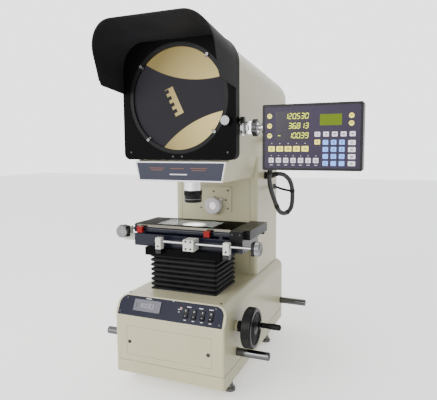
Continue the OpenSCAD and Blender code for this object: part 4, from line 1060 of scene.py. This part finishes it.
def smooth_route(points, per=8):
    """Points along a smooth curve through the route's points."""
    p = [points[0] * 2 - points[1], *points, points[-1] * 2 - points[-2]]
    out = []
    for a, b, c, d in zip(p, p[1:], p[2:], p[3:]):
        for t in (k / per for k in range(per)):
            bend = (2 * a - 5 * b + 4 * c - d) * t * t + (3 * b - a - 3 * c + d) * t ** 3
            out.append(0.5 * ((2 * b) + (c - a) * t + bend))
    out.append(points[-1])
    return out


def tube(name, route, radii, sides=16):
    """A closed tube along a route with a radius at each point and a map of length by turn, and its length."""
    verts = []
    lengths = []
    length = 0.0
    up = Vector((0.25, 0.95, -0.2)).normalized()
    for i, p in enumerate(route):
        if i:
            length += (p - route[i - 1]).length
        lengths.append(length)
        ahead = (route[min(i + 1, len(route) - 1)] - route[max(i - 1, 0)]).normalized()
        up = (up - ahead * up.dot(ahead)).normalized()
        across = ahead.cross(up)
        verts += [tuple(p + (up * c + across * s) * radii[i]) for c, s in circle(sides)]
    faces = skin(len(route), sides)
    uvs = [[(lengths[i + di], (k + dk) / sides) for di, dk in ((0, 0), (0, 1), (1, 1), (1, 0))]
           for i in range(len(route) - 1) for k in range(sides)]
    for start in (0, (len(route) - 1) * sides):
        faces.append([start + k for k in range(sides)])
        uvs.append([(0.0, 0.0)] * sides)
    mesh = bpy.data.meshes.new(name)
    mesh.from_pydata(verts, [], faces)
    layer = mesh.uv_layers.new(name="UVMap")
    for polygon, corners in zip(mesh.polygons, uvs):
        for loop, uv in zip(polygon.loop_indices, corners):
            layer.data[loop].uv = uv
    with edited(mesh) as work:
        bmesh.ops.recalc_face_normals(work, faces=work.faces)
    return mesh, length


class COMPARATOR_OT_harness(ComparatorOperator):
    """Braided signal harness with its boots, ties and holding strap"""

    bl_idname = "comparator.harness"
    bl_label = "Signal harness"

    def fitting(self, mesh, name, finish):
        """A rubber piece of the harness."""
        return piece(mesh, name, "frame", "cable_rubber", finish, smooth=60.0)

    def execute(self, context):
        """Sweeps the harness along its route."""
        d = self.sizes.harness_d
        route = smooth_route([Vector(p) * MM for p in HARNESS_ROUTE])
        mesh, length = tube("signal_harness_sleeve", route, [d / 2] * len(route))
        sleeve = piece(mesh, "signal_harness_sleeve", "frame", "cable_rubber", "braided_sleeve",
                       ["signal_harness"], 60.0)
        for name, part in (("head_boot", route[:18]), ("column_boot", route[::-1][:20])):
            n = len(part)
            radii = [d / 2 + BOOT_RIDGES[i % 3] * (1 - i / n) + 0.0004 for i in range(n)]
            self.fitting(tube(name, part, radii)[0], name, "moulded_black")
        ties = bpy.data.meshes.new("harness_ties")
        with edited(ties) as work:
            for share in HARNESS_TIES:
                i = int(share * (len(route) - 1))
                radii = [d / 2 + rise for rise in (0.0003, 0.0012, 0.0013, 0.0012, 0.0003)]
                work.from_mesh(tube("band", route[i - 2:i + 3], radii)[0])
        self.fitting(ties, "harness_ties", "strap_black")
        turned("strap_stud", [(0, 0), (10, 0), (10, 8), (8.5, 10), (0, 10)], STRAP_STUD,
                               RIGHT, 40, "frame", "silver_aluminium", "meter_grey")
        held = route[int(HARNESS_TIES[-1] * (len(route) - 1))]
        start = STRAP_STUD + RIGHT * 0.006
        line = [start.lerp(held, k / 12) - UP * 0.003 * math.sin(math.pi * k / 12) for k in range(13)]
        strap = tube("holding_strap", line, [0.0042] * len(line), 12)[0]
        self.fitting(strap, "holding_strap", "strap_black")
        return {"FINISHED"}


class COMPARATOR_OT_finishes(ComparatorOperator):
    """Procedural finishes on the carried-over solids"""

    bl_idname = "comparator.finishes"
    bl_label = "Finishes"

    def execute(self, context):
        """Paints every solid."""
        make_finishes(self.paint)
        for finish, names in PAINTED.items():
            for node in (NODES[name] for name in names):
                if not node.material_slots:
                    node.data.materials.append(FINISH[finish])
                for slot in node.material_slots:
                    slot.material = FINISH[finish]
        return {"FINISHED"}


class COMPARATOR_OT_bellows(ComparatorOperator):
    """Folded cloth bellows between the base and the lift plate"""

    bl_idname = "comparator.bellows"
    bl_label = "Bellows"

    def execute(self, context):
        """Grows the bellows, takes them off their body and bakes their place into the mesh."""
        low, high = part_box("bellows")
        size = high - low
        values = {"Width": size.x, "Depth": size.y, "Height": size.z, "Corner": 0.007,
                  "Fold": self.sizes.pleat_depth, "Pleats": self.sizes.pleats}
        spot = ((low.x + high.x) / 2, (low.y + high.y) / 2, low.z)
        cover = grown("bellows_cover", "bellows", [(spot, UP)], values, "frame", "bellows_rubber",
                      "cloth_rubber", ["bellows"], 50.0)
        cover.parent = None
        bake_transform(cover)
        return {"FINISHED"}


class COMPARATOR_OT_readout(ComparatorOperator):
    """Key sheet, keys, lit numbers and small display of the readout"""

    bl_idname = "comparator.readout"
    bl_label = "Readout"

    def plate(self, name, outlines, low, high, slot, finish, replaced=()):
        """Flat plates on the key sheet."""
        plates(name, outlines, READOUT_FACE, FRONT, low, high, "readout", slot, finish, replaced)

    def execute(self, context):
        """Fits the readout's face."""
        low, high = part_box("readout_keypad")
        size = high - low
        middle = (low + high) / 2 - READOUT_FACE
        outline, inner = (rounded(size.x - d, size.z - d, 0.003, middle.x, middle.z) for d in (0.0, 0.003))
        self.plate("key_sheet", [outline], -0.0012, 0.0, "violet_keypad", "key_sheet", ["readout_keypad"])
        border("key_sheet_rim", outline, inner, READOUT_FACE, 0.0003, "readout", "violet_keypad",
               "readout_black")
        self.keys()
        self.displays()
        return {"FINISHED"}

    def keys(self):
        """Key caps by colour and size, and their marks."""
        square = self.sizes.key_corner
        groups = [
            ("axis_keys", "yellow_key", 14, 14, 7 * MM, [(21, 151 - 27.3 * i) for i in range(3)]
             + [(244, 147 - 20 * i) for i in range(2)]),
            ("white_keys", "white_key", 15, 13, square, [(155 + 23.1 * i, 99) for i in range(5)]),
            ("yellow_keys", "yellow_key", 19, 15, square, [(27 + 23.65 * i, 60) for i in range(5)]),
            ("low_keys", "white_key", 14.5, 14, square, [(26 + 20.9 * i, 28) for i in range(7)]),
            ("single_key", "yellow_key", 15, 13, square, [(155, 78)]),
            ("number_keys", "blue_key", 14.5, 13, square, NUMBER_KEYS),
            ("wide_keys", "white_key", 19, 13, square, [(246, 76 - 18.6 * j) for j in range(4)]),
        ]
        marks = []
        for name, finish, w, h, corner, places in groups:
            values = {"Width": w * MM, "Height": h * MM, "Corner": corner, "Rise": KEY_RISE}
            spots = [(readout_spot(x, z), FRONT) for x, z in places]
            grown(name, "key", spots, values, "readout", "grey_plastic", finish)
            if name == "number_keys":
                continue
            for k, (x, z) in enumerate(places):
                marks.append((x, z + 1.0, 5.2 + (k * 37 % 5) * 0.9, 2.0))
                if w > 14:
                    marks.append((x, z - 2.6, 3.6 + (k * 53 % 4) * 1.1, 1.4))
        printed("key_marks", bars(readout_spot, FRONT, 0.9, marks), 0.0002, "readout", "grey_plastic",
                "print_dark")
        outlines = []
        for (x, z), text in zip(NUMBER_KEYS, NUMBER_TEXT):
            outlines += number_outlines(text, (x - 1.7) * MM, (z - 3.0) * MM, 0.0060, lean=0.0)
        self.plate("number_marks", outlines, KEY_RISE, 0.0010, "grey_plastic", "print_dark")
        rows = [(27 + 23.65 * i, 75, 2.4, 1.6) for i in range(5)]
        rows += [(26 + 20.9 * i, z, w, h) for z, w, h in ((41, 2.2, 1.6), (15, 8.5, 1.2)) for i in range(7)]
        printed("sheet_marks", bars(readout_spot, FRONT, 0.1, rows), 0.0002, "readout", "grey_plastic",
                "print_white")

    def displays(self):
        """Three rows of lit numbers and the olive display."""
        rows = (("120.530", DIGIT_X, 0), (" 36.813", DIGIT_X, 1), (" 100.39", DIGIT_X, 2), ("-", 44, 2))
        outlines = []
        for text, x, row in rows:
            foot = (DIGIT_FOOT - DIGIT_STEP * row) * MM
            outlines += number_outlines(text, x * MM, foot, self.sizes.digit_h, lean=0.14, weight=0.12)
        self.plate("lit_numbers", outlines, -0.0001, 0.0003, "grey_plastic", "lit_digits")
        window = rounded(0.094, 0.082, 0.003, 0.085, 0.122)
        self.plate("number_window", [window], -0.0006, 0.00012, "gloss_black", "window_black")
        olive = rounded(0.058, 0.030, 0.001, 0.190, 0.1375)
        self.plate("olive_face", [olive], -0.0006, 0.0003, "gloss_black", "olive_display")


class COMPARATOR_OT_controls(ComparatorOperator):
    """Legends, lamp, meter window and switch marks of the control panel"""

    bl_idname = "comparator.controls"
    bl_label = "Control panel"

    def execute(self, context):
        """Prints the panel, marks the switches and fits the small fixed parts."""
        self.panel()
        self.nose_trim()
        turned("illuminator_window", [(0, 0), (13.8, 0), (13.8, 1.2), (11, 2.4), (0, 3)],
               (0, 0.1587, 0.520), FRONT, 48, "illuminator", "optic_glass", "pale_light")
        # Painted shade: dark strips in the column's seam grooves, where shade falls
        shade_strips = [(Vector((x, 0.1812, 0.452)), FRONT, (0.0016, 0.322, 1)) for x in (-0.131, 0.131)]
        printed("column_seam_shade", shade_strips, 0.0004, "frame", "ivory_paint", "seam_shadow")
        turned("scale_stop", [(0, 0), (7, 0), (7, 7), (5.5, 9.5), (0, 9.5)], (0.198, 0.112, 0.4495), -UP, 32,
               "x_carriage", "black_plastic", "moulded_black")
        return {"FINISHED"}

    def panel(self):
        """Print, lamp, switch marks and meter of the slanted panel."""
        rows = [(-74, 58.2, 19, 2.0), (32, 40, 7, 1.6), (32, 33, 5, 1.4), (8, 61.5, 3, 3)]
        rows += [(x, 50.5, 13, 2.0) for x in (62, 100, 132)] + [(x, 12.5, 8, 1.8) for x in ROCKERS]
        legends = bars(panel_spot, PANEL_OUT, PANEL_PRINT, rows)
        printed("panel_legends", legends, 0.0002, "frame", "grey_plastic", "print_white")
        turned("panel_lamp", [(0, 0.4), (2.6, 0.4), (2.6, 1.6), (2, 2.6), (0, 3)],
               panel_spot(*LAMP_SPOT, 1.2), PANEL_OUT, 24, "frame", "red_plastic", "red_lamp")
        collar = [(2.7, 0), (4, 0), (4, 1.2), (3.4, 1.8), (2.7, 1.8), (2.7, 0)]
        turned("panel_lamp_collar", collar, panel_spot(*LAMP_SPOT), PANEL_OUT, 24,
               "frame", "silver_aluminium", "silver_aluminium")
        for x, name in zip(ROCKERS, "abcd"):
            upper = (panel_spot(x, ROCKER_S + ROCKER_MARK, 5.05), PANEL_OUT + PANEL_UP * -0.11,
                     (0.0012, 0.0050, 1))
            lower = (panel_spot(x, ROCKER_S - ROCKER_MARK, 5.98), PANEL_OUT + PANEL_UP * 0.23,
                     (0.0042, 0.0010, 1))
            printed("rocker_mark_" + name, [upper, lower], 0.0003, "rocker_" + name, "grey_plastic",
                    "print_white")
        plates("meter_face", [rounded(0.044, 0.0125, 0.001)], panel_spot(*METER_SPOT, 3.2), PANEL_OUT, 0.0,
               0.0005, "frame", "grey_plastic", "meter_window")
        numbers = number_outlines("004218", -0.0165, -0.0036, 0.0072, lean=0.06, weight=0.13)
        plates("meter_numbers", numbers, panel_spot(*METER_SPOT, 3.7), PANEL_OUT, 0.0, 0.0002,
               "frame", "grey_plastic", "print_dark")

    def nose_trim(self):
        """Pale border round the nose panel."""
        low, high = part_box("nose_panel")
        size = high - low
        middle = Vector(((low.x + high.x) / 2, high.y, (low.z + high.z) / 2))
        outlines = []
        for inset in (-0.0030, 0.0004):
            top = size.x / 2 - inset
            rise = size.z / 2 - inset
            foot = top - 2 * rise * NOSE_SLOPE
            outlines.append([(-foot, -rise), (foot, -rise), (top, rise), (-top, rise)])
        border("nose_trim", *outlines, middle, size.y + 0.0003, "frame", "blue_panel", "lilac_trim")


class COMPARATOR_OT_knobs(ComparatorOperator):
    """Knurled drive knobs with eared black flanges, and knurls on the small knobs"""

    bl_idname = "comparator.knobs"
    bl_label = "Knobs"

    def execute(self, context):
        """Turns the knobs."""
        self.drive("x_drive", Vector((0.232, -0.094, 0.436)), RIGHT)
        self.drive("y_drive", Vector((-0.216, -0.065, 0.456)), FRONT)
        knurled("wheel_ribs", (0.224, WHEEL_Y, WHEEL_Z), RIGHT, 58.5, 22, 1.0, 110,
                "handwheel", "black_plastic", "phenolic_black")
        web = [(17.6, 0), (47.9, 0), (47.9, 5.4), (44, 6.2), (43, 5.5), (36, 6.2), (35, 5.5), (28, 6.2),
               (27, 5.5), (17.6, 6.2), (17.6, 0)]
        turned("wheel_web", web, (0.2318, WHEEL_Y, WHEEL_Z), RIGHT, 96, "handwheel", "black_plastic",
               "black_enamel")
        low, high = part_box("ring_lock_knob")
        knurled("ring_lock_knurl", (low + high) / 2, FRONT, 12.7, 8.5, 0.7, 48,
                "ring_lock", "silver_aluminium", "dull_silver")
        knurled("ring_drive_knurl", (0.192, -0.066, 0.803), RIGHT, 8.5, 10, 0.6, 36,
                "ring_drive", "black_plastic", "moulded_black")
        knurled("lens_knurl", (0, 0, 0.5800), UP, 28, 12, 0.8, 80, "frame", "black_plastic", "phenolic_black")
        turned("lens_band", [(27.9, 0), (28.4, 0), (28.4, 1.1), (27.9, 1.1), (27.9, 0)], (0, 0, 0.5610), UP,
               72, "frame", "silver_aluminium", "silver_aluminium")
        return {"FINISHED"}

    def drive(self, body, foot, aim):
        """One drive knob: dished drum, knurl and flange with four ears."""
        drum = [(0, 7), (15.5, 7), (15.5, 8.8), (19.6, 8.8), (20.1, 9.6), (20.1, 22.2), (18.5, 24),
                (16.6, 24), (16, 23.2), (13.2, 23.2), (12.6, 23.9), (8.5, 23.9), (7.7, 22.8), (0, 22.8)]
        silver = (body, "silver_aluminium", "silver_aluminium")
        turned(body + "_drum", drum, foot, aim, 72, *silver, [body + "_knob"])
        knurled(body + "_knurl", foot + aim * 0.0156, aim, 19.7, 12.2, 0.9, self.sizes.knurls, *silver)
        rim = 0.0205
        ear_out = 0.0185
        ear_r = 0.006
        outline = []
        for k in range(120):
            a = 2 * math.pi * k / 120
            reach = rim
            for ear in (45, 135, 225, 315):
                off = a - math.radians(ear)
                inside = ear_r ** 2 - (ear_out * math.sin(off)) ** 2
                if math.cos(off) > 0 and inside > 0:
                    reach = max(reach, ear_out * math.cos(off) + math.sqrt(inside))
            outline.append((reach * math.cos(a), reach * math.sin(a)))
        plates(body + "_flange", [outline], foot, aim, 0.0, 0.0080, body, "black_plastic", "moulded_black",
               soften=0.0006)


class COMPARATOR_OT_fasteners(ComparatorOperator):
    """Cap screws on the covers, blocks and plates"""

    bl_idname = "comparator.fasteners"
    bl_label = "Fasteners"

    def execute(self, context):
        """Sets the screws body by body, and the clips of the screen."""

        def at(aim, *points):
            """Spots of screws from points in millimetres."""
            return [(Vector(p) * MM, aim) for p in points]

        flange = [(183, -38 + 16.5 * math.cos(a), 781 + 16.5 * math.sin(a)) for a in (0.8, 2.35, 3.93, 5.5)]
        plate = [(-53, 177, 573), (-4, 177, 569), (51, 177, 573), (43, 177, 539), (51, 177, 509),
                 (-53, 177, 509)]
        groups = [
            ("frame_screws", "frame", 1.0,
             at(FRONT, (-160, -102, 711), (160, -102, 711), (-15, -102, 699), (15, -102, 699), *plate)
             + at(UP, (-152, -140, 279), (152, -140, 279))
             + at(BACK, *((x, 445, z) for x in (-120, 120) for z in (300, 480, 660)))
             + at(BACK, *((x, 445, z) for x in (-150, 150) for z in (110, 250)))
             + at(RIGHT, *flange)
             + [(panel_spot(x, s), PANEL_OUT) for x, s in ((-163, 12), (163, 12), (-146, 55), (146, 55))]),
            ("cover_screws", "frame", 1.7, at(FRONT, (-130, -184.6, 141), (130, -184.6, 141))),
            ("bracket_screws", "lift", 1.0,
             at(FRONT, *((x, -105, z) for x in (-72, 153) for z in (407, 422)))),
            ("carriage_screws", "x_carriage", 1.0,
             at(FRONT, (24, -107, 422), (40, -107, 422), (24, -107, 444), (40, -107, 444))
             + at(FRONT, *((x, -70, z) for x in (160, 184) for z in (432, 468)))),
            ("wheel_screw", "handwheel", 2.0, at(RIGHT, (239, -83, 197))),
            ("readout_screws", "readout", 1.0,
             at(BACK, *((x, -14, z) for x in (262, 512) for z in (672, 831)))),
        ]
        for name, body, scale, spots in groups:
            values = {"Head Radius": self.sizes.screw_r * scale,
                      "Head Height": self.sizes.screw_h * min(scale, 1.0),
                      "Socket Radius": self.sizes.socket_r * scale}
            grown(name, "screw", spots, values, body, "ground_steel", "dark_steel")
        blades = []
        heads = []
        for a in (math.radians(50.5 + 90 * k) for k in range(4)):
            out = Vector((math.cos(a), math.sin(a)))
            side = Vector((-out.y, out.x)) * 0.0035
            corners = ((CLIP_IN, -1), (CLIP_OUT, -1), (CLIP_OUT, 1), (CLIP_IN, 1))
            blades.append([tuple(out * r + side * k) for r, k in corners])
            heads.append((Vector((out.x * CLIP_HEAD, -0.101, SCREEN_Z + out.y * CLIP_HEAD)), FRONT))
        plates("clip_blades", blades, (0, -0.100, SCREEN_Z), FRONT, 0.0, 0.001,
               "screen", "ground_steel", "dark_steel", ["screen_clips"])
        values = {"Head Radius": 0.0050, "Head Height": 0.0035, "Socket Radius": 0.0024}
        grown("clip_heads", "screw", heads, values, "screen", "ground_steel", "dull_silver")
        return {"FINISHED"}


class COMPARATOR_PT_panel(bpy.types.Panel):
    """Sidebar panel with the comparator's colours, sizes and pieces"""

    bl_idname = "COMPARATOR_PT_panel"
    bl_label = "Optical Comparator"
    bl_space_type = "VIEW_3D"
    bl_region_type = "UI"
    bl_category = "Comparator"

    def draw(self, context):
        """Lists the settings and the operators."""
        layout = self.layout
        scene = context.scene
        for group in (scene.comparator_paint, scene.comparator_sizes, scene.comparator_studio):
            column = layout.column()
            for key in group.__annotations__:
                column.prop(group, key)
        for operator in STEPS:
            layout.operator(operator.bl_idname)


STEPS = (
    COMPARATOR_OT_finishes,
    COMPARATOR_OT_studio,
    COMPARATOR_OT_harness,
    COMPARATOR_OT_bellows,
    COMPARATOR_OT_readout,
    COMPARATOR_OT_controls,
    COMPARATOR_OT_knobs,
    COMPARATOR_OT_fasteners,
)
CLASSES = (ComparatorPaint, ComparatorSizes, ComparatorStudio, *STEPS, COMPARATOR_PT_panel)


def register():
    """Registers the classes and their settings."""
    for cls in CLASSES:
        bpy.utils.register_class(cls)
    bpy.types.Scene.comparator_paint = PointerProperty(type=ComparatorPaint)
    bpy.types.Scene.comparator_sizes = PointerProperty(type=ComparatorSizes)
    bpy.types.Scene.comparator_studio = PointerProperty(type=ComparatorStudio)


def unregister():
    """Removes the settings and the classes."""
    del bpy.types.Scene.comparator_studio
    del bpy.types.Scene.comparator_sizes
    del bpy.types.Scene.comparator_paint
    for cls in reversed(CLASSES):
        bpy.utils.unregister_class(cls)


def main():
    """Builds the dressed comparator."""
    register()
    for operator in STEPS:
        group, name = operator.bl_idname.split(".")
        getattr(getattr(bpy.ops, group), name)()


if __name__ == "__main__":
    main()
